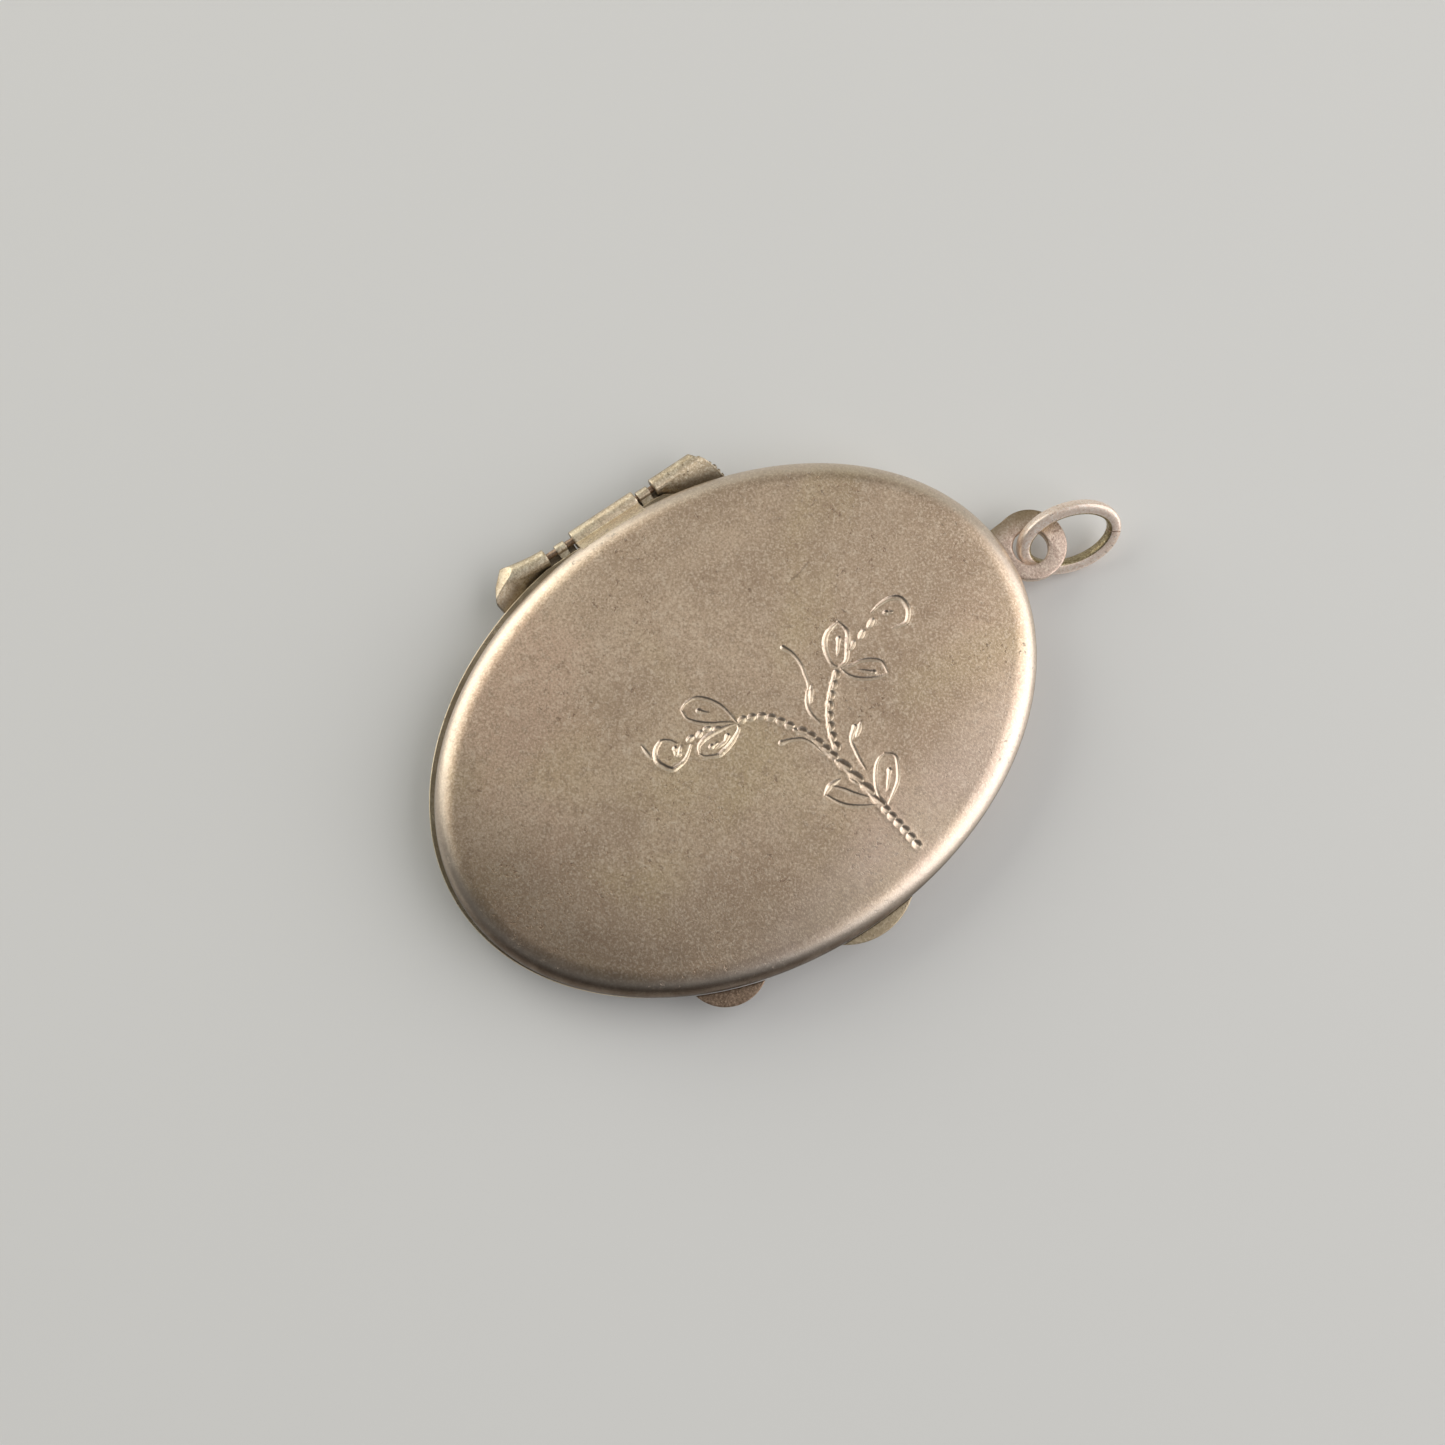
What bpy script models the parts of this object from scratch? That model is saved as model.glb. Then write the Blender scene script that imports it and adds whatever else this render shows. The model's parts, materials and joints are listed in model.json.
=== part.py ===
"""Oval hinged picture locket: two stamped covers and an inner picture leaf on one hinge pin,
with an eye lug and an oval jump ring.

Metres, +Z up. The origin is the centre of the rear cover's flat back. X runs across the locket,
with the hinge on -X and the thumb tabs on +X, and Y runs along it, with the lug and ring on +Y.
"""

import math

import bmesh
import bpy
from mathutils import Matrix, Vector

MM = 0.001

# Oval outline of the covers, and how many straight sides stand for it.
HALF_LENGTH = 20.0 * MM
HALF_WIDTH = 14.76 * MM
OVAL_SIDES = 60

# Stack through the thickness, from the rear cover's back upwards.
COVER_HEIGHT = 2.0 * MM
SHEET = 0.40 * MM
SHOULDER_RADIUS = 1.15 * MM
SHOULDER_STEPS = 4
LEAF_GAP = 0.04 * MM
LEAF_THICKNESS = 0.42 * MM
REAR_RIM_Z = COVER_HEIGHT
LEAF_BOTTOM_Z = REAR_RIM_Z + LEAF_GAP
LEAF_TOP_Z = LEAF_BOTTOM_Z + LEAF_THICKNESS
FRONT_RIM_Z = LEAF_TOP_Z + LEAF_GAP
TOTAL_HEIGHT = FRONT_RIM_Z + COVER_HEIGHT
MIDDLE_Z = TOTAL_HEIGHT / 2

# Working gap between pieces that touch, and the sliding gap between a cover and the leaf's rim.
TOUCH = 0.02 * MM
SNAP_GAP = 0.06 * MM

# Hinge: one pin, three large knuckles and two thin leaf barrels.
HINGE_X = -15.65 * MM
KNUCKLE_RADIUS = 0.60 * MM
BARREL_RADIUS = 0.38 * MM
BORE_RADIUS = 0.26 * MM
PIN_RADIUS = 0.22 * MM
ROUND_SIDES = 24
LEFT_KNUCKLE_INNER_Y = -3.82 * MM
LEFT_KNUCKLE_OUTER_Y = -7.48 * MM
RIGHT_KNUCKLE_INNER_Y = 4.25 * MM
RIGHT_KNUCKLE_OUTER_Y = 7.98 * MM
LEFT_MITRE = 0.66 * MM
RIGHT_MITRE = 0.50 * MM
MIDDLE_KNUCKLE_Y = (-1.85 * MM, 2.92 * MM)
LEFT_BARREL_Y = (-3.12 * MM, -2.40 * MM)
RIGHT_BARREL_Y = (3.08 * MM, 3.92 * MM)
PIN_Y = (-6.80 * MM, 7.30 * MM)
BORE_END = 0.10 * MM
FOOT_NEAR = 0.27 * MM
FOOT_FAR = 0.65 * MM
BARREL_FOOT_HALF = 0.17 * MM
BARREL_FOOT_START = 0.29 * MM

# Inner leaf: its edge stands a little proud of the covers, except beside the hinge.
LEAF_PROUD = 0.12 * MM
LEAF_SHIFT = Vector((-0.12 * MM, -0.04 * MM))
LEAF_SET_BACK = 0.04 * MM
LEAF_HINGE_ZONE_Y = (-9.8 * MM, 9.8 * MM)
RIM_WIDTH = 0.34 * MM
RIM_HEIGHT = 0.67 * MM

# Picture sets: a card, a clear sheet and a push-in bezel, each stated outward from its seat.
CARD_THICKNESS = 0.16 * MM
GLAZING_THICKNESS = 0.20 * MM
BEZEL_THICKNESS = 0.24 * MM
SET_GAP = 0.03 * MM
LEAF_BEZEL_WIDTH = 0.95 * MM
COVER_BEZEL_WIDTH = 1.40 * MM
COVER_CARD_INSET = 1.30 * MM
COVER_GLAZING_INSET = 0.78 * MM
COVER_BEZEL_INSET = 0.47 * MM

# Thumb tabs, each the part of a disc that stands out past the oval.
FRONT_TAB_Y = 0.10 * MM
FRONT_TAB_REACH = 0.77 * MM
FRONT_TAB_RADIUS = 4.28 * MM
LEAF_TAB_Y = -9.50 * MM
LEAF_TAB_REACH = 1.06 * MM
LEAF_TAB_RADIUS = 2.63 * MM
TAB_THICKNESS = 0.30 * MM
TAB_STEPS = 20

# Eye lug on the rear cover's rim.
LUG_CENTRE = Vector((0.92 * MM, 21.93 * MM))
LUG_RADIUS = 2.33 * MM
EYE_CENTRE = Vector((1.06 * MM, 21.84 * MM))
EYE_RADIUS = 1.13 * MM
LUG_THICKNESS = 0.50 * MM
LUG_Z = 1.70 * MM
LUG_STEPS = 36

# Oval jump ring: it passes through the eye and leans on the lug.
RING_CENTRE = Vector((1.90 * MM, 24.23 * MM, 1.84 * MM))
RING_HEADING = math.radians(17.5)
RING_DIP = math.radians(-4.1)
RING_LEAN = math.radians(41.4)
RING_HALF_LENGTH = 2.99 * MM
RING_HALF_WIDTH = 1.91 * MM
RING_BAND = 0.66 * MM
RING_DEPTH = 0.88 * MM
RING_SIDES = 44
RING_JOINT_ANGLE = math.radians(-12.0)
RING_JOINT_GAP = 0.06 * MM

# Colours: linear red, green, blue, with roughness and metallic value.
METAL = ((0.42, 0.33, 0.24), 0.42, 1.0)
METAL_DARK = ((0.24, 0.17, 0.12), 0.50, 1.0)
METAL_ROSE = ((0.62, 0.47, 0.38), 0.30, 1.0)
CARD = ((0.78, 0.72, 0.60), 0.90, 0.0)
CLEAR = ((0.85, 0.86, 0.80), 0.12, 0.0)


def clear_scene():
    for item in list(bpy.data.objects):
        bpy.data.objects.remove(item, do_unlink=True)


def new_collection(name, hidden):
    collection = bpy.data.collections.new(name)
    bpy.context.scene.collection.children.link(collection)
    collection.hide_render = hidden
    return collection


def new_material(name, look):
    colour, roughness, metallic = look
    material = bpy.data.materials.new(name)
    material.use_nodes = True
    shader = material.node_tree.nodes["Principled BSDF"]
    shader.inputs["Base Color"].default_value = (*colour, 1.0)
    shader.inputs["Roughness"].default_value = roughness
    shader.inputs["Metallic"].default_value = metallic
    return material


def new_empty(name, place):
    empty = bpy.data.objects.new(name, None)
    empty.location = place
    empty.empty_display_size = 2 * MM
    PARTS.objects.link(empty)
    return empty


def hang_on(piece, empty):
    """Parents a piece to an empty that only has a location, and leaves the piece where it is."""
    piece.parent = empty
    piece.matrix_parent_inverse = Matrix.Translation(-empty.location)


def finish_piece(piece, look, empty=None):
    piece.data.materials.append(new_material(piece.name, look))
    if empty is not None:
        hang_on(piece, empty)
    return piece


def oval_normal(angle):
    normal = Vector((math.cos(angle) / HALF_WIDTH, math.sin(angle) / HALF_LENGTH))
    return normal.normalized()


def oval_point(angle, outward=0.0):
    """A point of the covers' oval at this parameter angle, moved outward along the normal."""
    on_oval = Vector((HALF_WIDTH * math.cos(angle), HALF_LENGTH * math.sin(angle)))
    return on_oval + oval_normal(angle) * outward


def oval_outline(outward):
    return [oval_point(2 * math.pi * i / OVAL_SIDES, outward) for i in range(OVAL_SIDES)]


def oval_angle_at(y, side):
    """The parameter angle of the oval's point at this y, on the +X side (1) or the -X side (-1)."""
    angle = math.asin(y / HALF_LENGTH)
    return angle if side > 0 else math.pi - angle


def flat_piece(name, outlines, low_z, high_z, collection):
    """A flat piece between two heights, from closed 2D outlines: the first is the edge, others holes."""
    curve = bpy.data.curves.new(name, "CURVE")
    curve.dimensions = "2D"
    curve.fill_mode = "BOTH"
    curve.extrude = (high_z - low_z) / 2
    for outline in outlines:
        spline = curve.splines.new("POLY")
        spline.points.add(len(outline) - 1)
        for point, place in zip(spline.points, outline):
            point.co = (place.x, place.y, 0.0, 1.0)
        spline.use_cyclic_u = True
    piece = bpy.data.objects.new(name, curve)
    piece.location.z = (low_z + high_z) / 2
    collection.objects.link(piece)
    return piece


def to_mesh(piece):
    """Replaces a curve object by a welded mesh object of the same name, so that it can be cut."""
    bpy.context.view_layer.update()
    graph = bpy.context.evaluated_depsgraph_get()
    mesh = bpy.data.meshes.new_from_object(piece.evaluated_get(graph))
    welded = bmesh.new()
    welded.from_mesh(mesh)
    bmesh.ops.remove_doubles(welded, verts=welded.verts, dist=1e-7)
    bmesh.ops.recalc_face_normals(welded, faces=welded.faces)
    welded.to_mesh(mesh)
    welded.free()
    name = piece.name
    place = piece.matrix_world.copy()
    home = piece.users_collection[0]
    bpy.data.objects.remove(piece, do_unlink=True)
    result = bpy.data.objects.new(name, mesh)
    result.matrix_world = place
    home.objects.link(result)
    return result


def boolean(piece, other, operation):
    modifier = piece.modifiers.new(operation.lower(), "BOOLEAN")
    modifier.operation = operation
    modifier.solver = "EXACT"
    modifier.object = other


def hide_tool(tool):
    tool.hide_render = True
    tool.display_type = "WIRE"
    return tool


def shade_round(mesh):
    mesh.shade_smooth()
    mesh.set_sharp_from_angle(angle=math.radians(35))


def rod_along_y(name, radius, y_range, collection, mitre=(0.0, 0.0)):
    """A round rod on the hinge axis. Each mitre shears an end, so that it runs further on +X."""
    low_y, high_y = y_range
    shape = bmesh.new()
    bmesh.ops.create_cone(
        shape, cap_ends=True, segments=ROUND_SIDES, radius1=radius, radius2=radius, depth=high_y - low_y
    )
    bmesh.ops.rotate(shape, verts=shape.verts, matrix=Matrix.Rotation(math.pi / 2, 3, "X"))
    for vertex in shape.verts:
        slope = mitre[1] if vertex.co.y > 0 else -mitre[0]
        vertex.co.y += slope * vertex.co.x / KNUCKLE_RADIUS
    mesh = bpy.data.meshes.new(name)
    shape.to_mesh(mesh)
    shape.free()
    shade_round(mesh)
    rod = bpy.data.objects.new(name, mesh)
    rod.location = (HINGE_X, (low_y + high_y) / 2, MIDDLE_Z)
    collection.objects.link(rod)
    return rod


def foot_outline(y_range, start_x, gap):
    """The plan of a knuckle's foot: from near the hinge axis to just short of the oval wall."""
    low_y, high_y = y_range
    steps = 6
    edge = []
    for i in range(steps + 1):
        y = high_y + (low_y - high_y) * i / steps
        angle = oval_angle_at(y, -1)
        edge.append(oval_point(angle, gap))
    return [Vector((start_x, low_y)), Vector((start_x, high_y)), *edge]


def hinge_tube(name, radius, y_range, foot_z, foot_start, bore_y, foot_gap, mitre=(0.0, 0.0)):
    """A hinge tube with the foot that it is soldered on by, bored for the pin."""
    tube = rod_along_y(name, radius, y_range, PARTS, mitre)
    inset = 0.12 * MM
    outline = foot_outline((y_range[0] + inset, y_range[1] - inset), foot_start, foot_gap)
    foot = flat_piece(name + "_foot", [outline], foot_z[0], foot_z[1], TOOLS)
    boolean(tube, hide_tool(to_mesh(foot)), "UNION")
    bore = rod_along_y(name + "_bore", BORE_RADIUS, bore_y, TOOLS)
    boolean(tube, hide_tool(bore), "DIFFERENCE")
    return tube


def cover_shell(name):
    """A stamped oval cover: its open rim is at z = 0 and its closed face above it."""
    shape = bmesh.new()
    bmesh.ops.create_cone(
        shape, cap_ends=True, segments=OVAL_SIDES, radius1=1.0, radius2=1.0, depth=COVER_HEIGHT
    )
    bmesh.ops.scale(shape, verts=shape.verts, vec=(HALF_WIDTH, HALF_LENGTH, 1.0))
    bmesh.ops.translate(shape, verts=shape.verts, vec=(0, 0, COVER_HEIGHT / 2))
    open_end = [face for face in shape.faces if face.normal.z < -0.5]
    bmesh.ops.delete(shape, geom=open_end, context="FACES_ONLY")
    mesh = bpy.data.meshes.new(name)
    shape.to_mesh(mesh)
    shape.free()
    shell = bpy.data.objects.new(name, mesh)
    PARTS.objects.link(shell)
    shoulder = shell.modifiers.new("shoulder", "BEVEL")
    shoulder.width = SHOULDER_RADIUS
    shoulder.segments = SHOULDER_STEPS
    shoulder.limit_method = "ANGLE"
    shoulder.angle_limit = math.radians(40)
    sheet = shell.modifiers.new("sheet", "SOLIDIFY")
    sheet.thickness = SHEET
    sheet.offset = -1.0
    sheet.use_even_offset = True
    shade_round(mesh)
    return shell


def clipped_disc(centre, radius, outward_angle, gap, steps):
    """The part of a disc that lies outside the oval, which is grown by a gap."""
    half_width = HALF_WIDTH + gap
    half_length = HALF_LENGTH + gap

    def disc_point(angle):
        return centre + Vector((math.cos(angle), math.sin(angle))) * radius

    def outside(angle):
        point = disc_point(angle)
        return (point.x / half_width) ** 2 + (point.y / half_length) ** 2 > 1.0

    ends = []
    for side in (-1, 1):
        near, far = outward_angle, outward_angle + side * math.pi
        for _ in range(50):
            middle = (near + far) / 2
            near, far = (middle, far) if outside(middle) else (near, middle)
        ends.append(near)
    outline = [disc_point(ends[0] + (ends[1] - ends[0]) * i / steps) for i in range(steps + 1)]
    first, last = outline[-1], outline[0]
    start = math.atan2(first.y / half_length, first.x / half_width)
    stop = math.atan2(last.y / half_length, last.x / half_width)
    back_steps = 8
    for i in range(1, back_steps):
        angle = start + (stop - start) * i / back_steps
        outline.append(Vector((half_width * math.cos(angle), half_length * math.sin(angle))))
    return outline


def tab_outline(y, reach, radius, gap):
    angle = oval_angle_at(y, 1)
    normal = oval_normal(angle)
    centre = oval_point(angle, reach - radius)
    return clipped_disc(centre, radius, math.atan2(normal.y, normal.x), gap, TAB_STEPS)


def leaf_outline():
    """The leaf's edge: proud of the covers away from the hinge, set back beside it."""
    outline = []
    for i in range(2 * OVAL_SIDES):
        angle = math.pi * i / OVAL_SIDES
        point = oval_point(angle)
        low_y, high_y = LEAF_HINGE_ZONE_Y
        beside_hinge = point.x < 0 and low_y < point.y < high_y
        proud = LEAF_PROUD + oval_normal(angle).dot(LEAF_SHIFT)
        outline.append(oval_point(angle, -LEAF_SET_BACK if beside_hinge else proud))
    return outline


def picture_set(prefix, seat_z, direction, insets, bezel_width, empty):
    """Card, clear sheet and bezel, stacked from a seat in the direction that the picture faces."""
    card_inset, glazing_inset, bezel_inset = insets
    rows = (
        ("_picture", CARD_THICKNESS, card_inset, None, CARD),
        ("_glazing", GLAZING_THICKNESS, glazing_inset, None, CLEAR),
        ("_bezel", BEZEL_THICKNESS, bezel_inset, bezel_width, METAL_ROSE),
    )
    near_z = seat_z
    for suffix, thickness, inset, width, look in rows:
        near_z += direction * SET_GAP
        far_z = near_z + direction * thickness
        outlines = [oval_outline(-inset)]
        if width is not None:
            outlines.append(oval_outline(-inset - width))
        piece = flat_piece(prefix + suffix, outlines, min(near_z, far_z), max(near_z, far_z), PARTS)
        finish_piece(piece, look, empty)
        near_z = far_z


def ring_axes():
    """The ring's own directions: along its length, across it, and square to its plane."""
    flat = math.cos(RING_DIP)
    along = Vector((math.sin(RING_HEADING) * flat, math.cos(RING_HEADING) * flat, -math.sin(RING_DIP)))
    level = along.cross(Vector((0, 0, 1))).normalized()
    raised = level.cross(along)
    square = raised * math.cos(RING_LEAN) + level * math.sin(RING_LEAN)
    return along, square.cross(along), square


def ring_outline():
    """An oval band with an open joint, as one closed outline: out along the edge, back inside."""

    def band_point(angle, outward):
        on_oval = Vector((RING_HALF_LENGTH * math.cos(angle), RING_HALF_WIDTH * math.sin(angle)))
        normal = Vector((RING_HALF_WIDTH * math.cos(angle), RING_HALF_LENGTH * math.sin(angle)))
        return on_oval + normal.normalized() * outward

    half_gap = RING_JOINT_GAP / 2 / RING_HALF_WIDTH
    first = RING_JOINT_ANGLE + half_gap
    sweep = 2 * math.pi - 2 * half_gap
    angles = [first + sweep * i / RING_SIDES for i in range(RING_SIDES + 1)]
    outer = [band_point(angle, RING_BAND / 2) for angle in angles]
    inner = [band_point(angle, -RING_BAND / 2) for angle in reversed(angles)]
    return outer + inner


def make_rear_cover():
    shell = finish_piece(cover_shell("rear_cover_shell"), METAL)
    shell.rotation_euler.x = math.pi
    shell.location.z = REAR_RIM_Z
    seat = SHEET
    insets = (COVER_CARD_INSET, COVER_GLAZING_INSET, COVER_BEZEL_INSET)
    picture_set("rear", seat, 1, insets, COVER_BEZEL_WIDTH, None)

    foot_z = (MIDDLE_Z - FOOT_FAR, MIDDLE_Z - FOOT_NEAR)
    left = hinge_tube(
        "rear_knuckle_left",
        KNUCKLE_RADIUS,
        (LEFT_KNUCKLE_OUTER_Y, LEFT_KNUCKLE_INNER_Y),
        foot_z,
        HINGE_X,
        (PIN_Y[0] - BORE_END, LEFT_KNUCKLE_INNER_Y + KNUCKLE_RADIUS),
        TOUCH,
        (LEFT_MITRE, 0.0),
    )
    finish_piece(left, METAL)
    right = hinge_tube(
        "rear_knuckle_right",
        KNUCKLE_RADIUS,
        (RIGHT_KNUCKLE_INNER_Y, RIGHT_KNUCKLE_OUTER_Y),
        foot_z,
        HINGE_X,
        (RIGHT_KNUCKLE_INNER_Y - KNUCKLE_RADIUS, PIN_Y[1] + BORE_END),
        TOUCH,
        (0.0, RIGHT_MITRE),
    )
    finish_piece(right, METAL)
    finish_piece(rod_along_y("hinge_pin", PIN_RADIUS, PIN_Y, PARTS), METAL_DARK)

    outline = clipped_disc(LUG_CENTRE, LUG_RADIUS, math.pi / 2, TOUCH, LUG_STEPS)
    eye = []
    for i in range(LUG_STEPS):
        angle = 2 * math.pi * i / LUG_STEPS
        eye.append(EYE_CENTRE + Vector((math.cos(angle), math.sin(angle))) * EYE_RADIUS)
    half = LUG_THICKNESS / 2
    finish_piece(flat_piece("bail_lug", [outline, eye], LUG_Z - half, LUG_Z + half, PARTS), METAL_ROSE)


def make_leaf(hinge):
    plate = flat_piece("leaf_plate", [leaf_outline()], LEAF_BOTTOM_Z, LEAF_TOP_Z, PARTS)
    finish_piece(plate, METAL, hinge)
    rim_inset = SHEET + SNAP_GAP
    set_inset = rim_inset + RIM_WIDTH + 2 * TOUCH
    for side, direction, face_z in (("front", 1, LEAF_TOP_Z), ("rear", -1, LEAF_BOTTOM_Z)):
        near_z = face_z + direction * TOUCH
        far_z = near_z + direction * RIM_HEIGHT
        outlines = [oval_outline(-rim_inset), oval_outline(-rim_inset - RIM_WIDTH)]
        name = "leaf_" + side + "_rim"
        rim = flat_piece(name, outlines, min(near_z, far_z), max(near_z, far_z), PARTS)
        finish_piece(rim, METAL, hinge)
        insets = (set_inset, set_inset, set_inset)
        picture_set("leaf_" + side, face_z, direction, insets, LEAF_BEZEL_WIDTH, hinge)

    foot_z = (MIDDLE_Z - BARREL_FOOT_HALF, MIDDLE_Z + BARREL_FOOT_HALF)
    for name, y_range in (("leaf_barrel_left", LEFT_BARREL_Y), ("leaf_barrel_right", RIGHT_BARREL_Y)):
        bore_y = (y_range[0] - KNUCKLE_RADIUS, y_range[1] + KNUCKLE_RADIUS)
        start_x = HINGE_X + BARREL_FOOT_START
        gap = TOUCH - LEAF_SET_BACK
        barrel = hinge_tube(name, BARREL_RADIUS, y_range, foot_z, start_x, bore_y, gap)
        finish_piece(barrel, METAL, hinge)

    proud = LEAF_PROUD + oval_normal(oval_angle_at(LEAF_TAB_Y, 1)).dot(LEAF_SHIFT)
    outline = tab_outline(LEAF_TAB_Y, LEAF_TAB_REACH, LEAF_TAB_RADIUS, proud + TOUCH)
    half = TAB_THICKNESS / 2
    tab = flat_piece("leaf_thumb_tab", [outline], MIDDLE_Z - half, MIDDLE_Z + half, PARTS)
    finish_piece(tab, METAL_DARK, hinge)


def make_front_cover(hinge):
    shell = finish_piece(cover_shell("front_cover_shell"), METAL, hinge)
    shell.location.z = FRONT_RIM_Z
    seat = TOTAL_HEIGHT - SHEET
    insets = (COVER_CARD_INSET, COVER_GLAZING_INSET, COVER_BEZEL_INSET)
    picture_set("front", seat, -1, insets, COVER_BEZEL_WIDTH, hinge)

    foot_z = (MIDDLE_Z + FOOT_NEAR, MIDDLE_Z + FOOT_FAR)
    low_y, high_y = MIDDLE_KNUCKLE_Y
    knuckle = hinge_tube(
        "front_knuckle",
        KNUCKLE_RADIUS,
        MIDDLE_KNUCKLE_Y,
        foot_z,
        HINGE_X,
        (low_y - KNUCKLE_RADIUS, high_y + KNUCKLE_RADIUS),
        TOUCH,
    )
    finish_piece(knuckle, METAL, hinge)

    outline = tab_outline(FRONT_TAB_Y, FRONT_TAB_REACH, FRONT_TAB_RADIUS, TOUCH)
    tab = flat_piece("front_thumb_tab", [outline], FRONT_RIM_Z, FRONT_RIM_Z + TAB_THICKNESS, PARTS)
    finish_piece(tab, METAL, hinge)


def make_ring(turn):
    ring = flat_piece("jump_ring", [ring_outline()], -RING_DEPTH / 2, RING_DEPTH / 2, PARTS)
    along, across, square = ring_axes()
    ring.rotation_euler = Matrix((along, across, square)).transposed().to_euler()
    ring.location = RING_CENTRE
    finish_piece(ring, METAL_ROSE, turn)


clear_scene()
PARTS = new_collection("locket", hidden=False)
TOOLS = new_collection("cutters", hidden=True)
HINGE_CENTRE = (HINGE_X, sum(MIDDLE_KNUCKLE_Y) / 2, MIDDLE_Z)
make_rear_cover()
make_leaf(new_empty("leaf_hinge_axis", HINGE_CENTRE))
make_front_cover(new_empty("front_hinge_axis", HINGE_CENTRE))
make_ring(new_empty("ring_turn_axis", RING_CENTRE))
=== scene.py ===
"""Looks for the oval picture locket: worn silver-gilt metal, an engraved spray, and its studio.

Everything is in metres in the CAD's own frame: hinge on -X, thumb tabs on +X, lug and ring on +Y.
"""

import json
from math import acos, asin, atan2, copysign, cos, pi, radians, sin

import bmesh
import bpy
import numpy as np
from mathutils import Matrix, Vector, geometry, noise


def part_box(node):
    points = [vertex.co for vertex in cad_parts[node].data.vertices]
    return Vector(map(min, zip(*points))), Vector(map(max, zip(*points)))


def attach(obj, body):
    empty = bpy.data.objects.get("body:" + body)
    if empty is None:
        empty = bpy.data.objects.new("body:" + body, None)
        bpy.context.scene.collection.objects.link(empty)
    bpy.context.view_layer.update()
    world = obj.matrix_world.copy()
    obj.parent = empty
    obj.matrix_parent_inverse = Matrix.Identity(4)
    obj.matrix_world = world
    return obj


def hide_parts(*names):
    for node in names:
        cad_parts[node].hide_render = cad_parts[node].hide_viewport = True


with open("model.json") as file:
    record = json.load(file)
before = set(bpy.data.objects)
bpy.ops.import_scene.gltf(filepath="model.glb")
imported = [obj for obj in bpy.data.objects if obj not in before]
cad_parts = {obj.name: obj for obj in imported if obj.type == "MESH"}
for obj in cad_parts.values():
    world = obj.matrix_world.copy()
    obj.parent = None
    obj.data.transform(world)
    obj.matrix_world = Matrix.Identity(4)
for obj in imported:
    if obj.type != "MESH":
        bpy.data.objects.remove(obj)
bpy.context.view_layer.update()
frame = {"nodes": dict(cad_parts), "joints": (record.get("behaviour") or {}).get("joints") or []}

MM = 0.001

# ---- sizes read from the frame
FRONT_LOW, FRONT_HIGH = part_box("front_cover_shell")
REAR_LOW, REAR_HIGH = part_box("rear_cover_shell")
LEAF_LOW, LEAF_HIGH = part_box("leaf_plate")
LUG_LOW, LUG_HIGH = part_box("bail_lug")
HALF_WIDTH = FRONT_HIGH.x
HALF_LENGTH = FRONT_HIGH.y
JOINTS = {joint["name"]: joint for joint in frame["joints"]}
HINGE = Vector(JOINTS["leaf_hinge"]["pos_m"])
RING_CENTRE = Vector(JOINTS["ring_turn"]["pos_m"])
RING_ALONG = Vector(JOINTS["ring_turn"]["axis"]).normalized()

# ---- sizes of the fine shapes
SHEET = 0.40 * MM
SHOULDER = 1.15 * MM
SHOULDER_WIDTH = 1.70 * MM
SHOULDER_TOP = 86.5  # degrees of the shoulder's curve that are left before the face begins
CROWN = 0.24 * MM
EDGE = 0.07 * MM
AROUND = 288
TOUCH = 0.02 * MM


def oval_normal(angle):
    return Vector((cos(angle) / HALF_WIDTH, sin(angle) / HALF_LENGTH)).normalized()


def oval_point(angle, outward=0.0):
    on_oval = Vector((HALF_WIDTH * cos(angle), HALF_LENGTH * sin(angle)))
    return on_oval + oval_normal(angle) * outward


def oval_angle_at(y, side):
    angle = asin(y / HALF_LENGTH)
    return angle if side > 0 else pi - angle


def arc(centre, radius, start, stop, steps):
    """Points (outward, z) along an arc, with angles in degrees from +outward towards +z."""
    points = []
    for i in range(steps + 1):
        angle = radians(start + (stop - start) * i / steps)
        points.append((centre[0] + radius * cos(angle), centre[1] + radius * sin(angle)))
    return points


# The shoulder's curve, outward and up from its foot, and the half-sizes of the panel inside it.
SHOULDER_CURVE = [(SHOULDER_WIDTH * (x - 1), SHOULDER * z) for x, z in arc((0, 0), 1, SHOULDER_TOP, 0, 22)]
PANEL_INSET = SHOULDER_CURVE[0][0]
PANEL_WIDTH = HALF_WIDTH + PANEL_INSET
PANEL_LENGTH = HALF_LENGTH + PANEL_INSET


# ---- mesh helpers
def round_angles(count):
    """Equal steps right round a circle."""
    return [2 * pi * i / count for i in range(count)]


def linked(name, data):
    """A new object in the scene."""
    piece = bpy.data.objects.new(name, data)
    bpy.context.scene.collection.objects.link(piece)
    return piece


def outwards(shape):
    bmesh.ops.recalc_face_normals(shape, faces=shape.faces)
    return shape


def mesh_of(name, shape):
    mesh = bpy.data.meshes.new(name)
    shape.to_mesh(mesh)
    shape.free()
    return mesh


def finished(name, mesh, sharp_angle=40, merge=0.0):
    """An object of a mesh with its doubled points merged, its normals outwards and its edges shaded."""
    shape = bmesh.new()
    shape.from_mesh(mesh)
    if merge:
        bmesh.ops.remove_doubles(shape, verts=shape.verts, dist=merge)
    outwards(shape).to_mesh(mesh)
    shape.free()
    mesh.name = name
    mesh.shade_smooth()
    mesh.set_sharp_from_angle(angle=radians(sharp_angle))
    return linked(name, mesh)


def add_mesh(name, vertices, faces, sharp_angle=40):
    mesh = bpy.data.meshes.new(name)
    mesh.from_pydata([tuple(v) for v in vertices], [], faces)
    mesh.validate()
    return finished(name, mesh, sharp_angle)


def evaluated(holder):
    """The mesh that an object's bevel or modifiers make. The object itself is removed."""
    bpy.context.view_layer.update()
    graph = bpy.context.evaluated_depsgraph_get()
    mesh = bpy.data.meshes.new_from_object(holder.evaluated_get(graph))
    mesh.transform(holder.matrix_world)
    bpy.data.objects.remove(holder)
    return mesh


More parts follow.
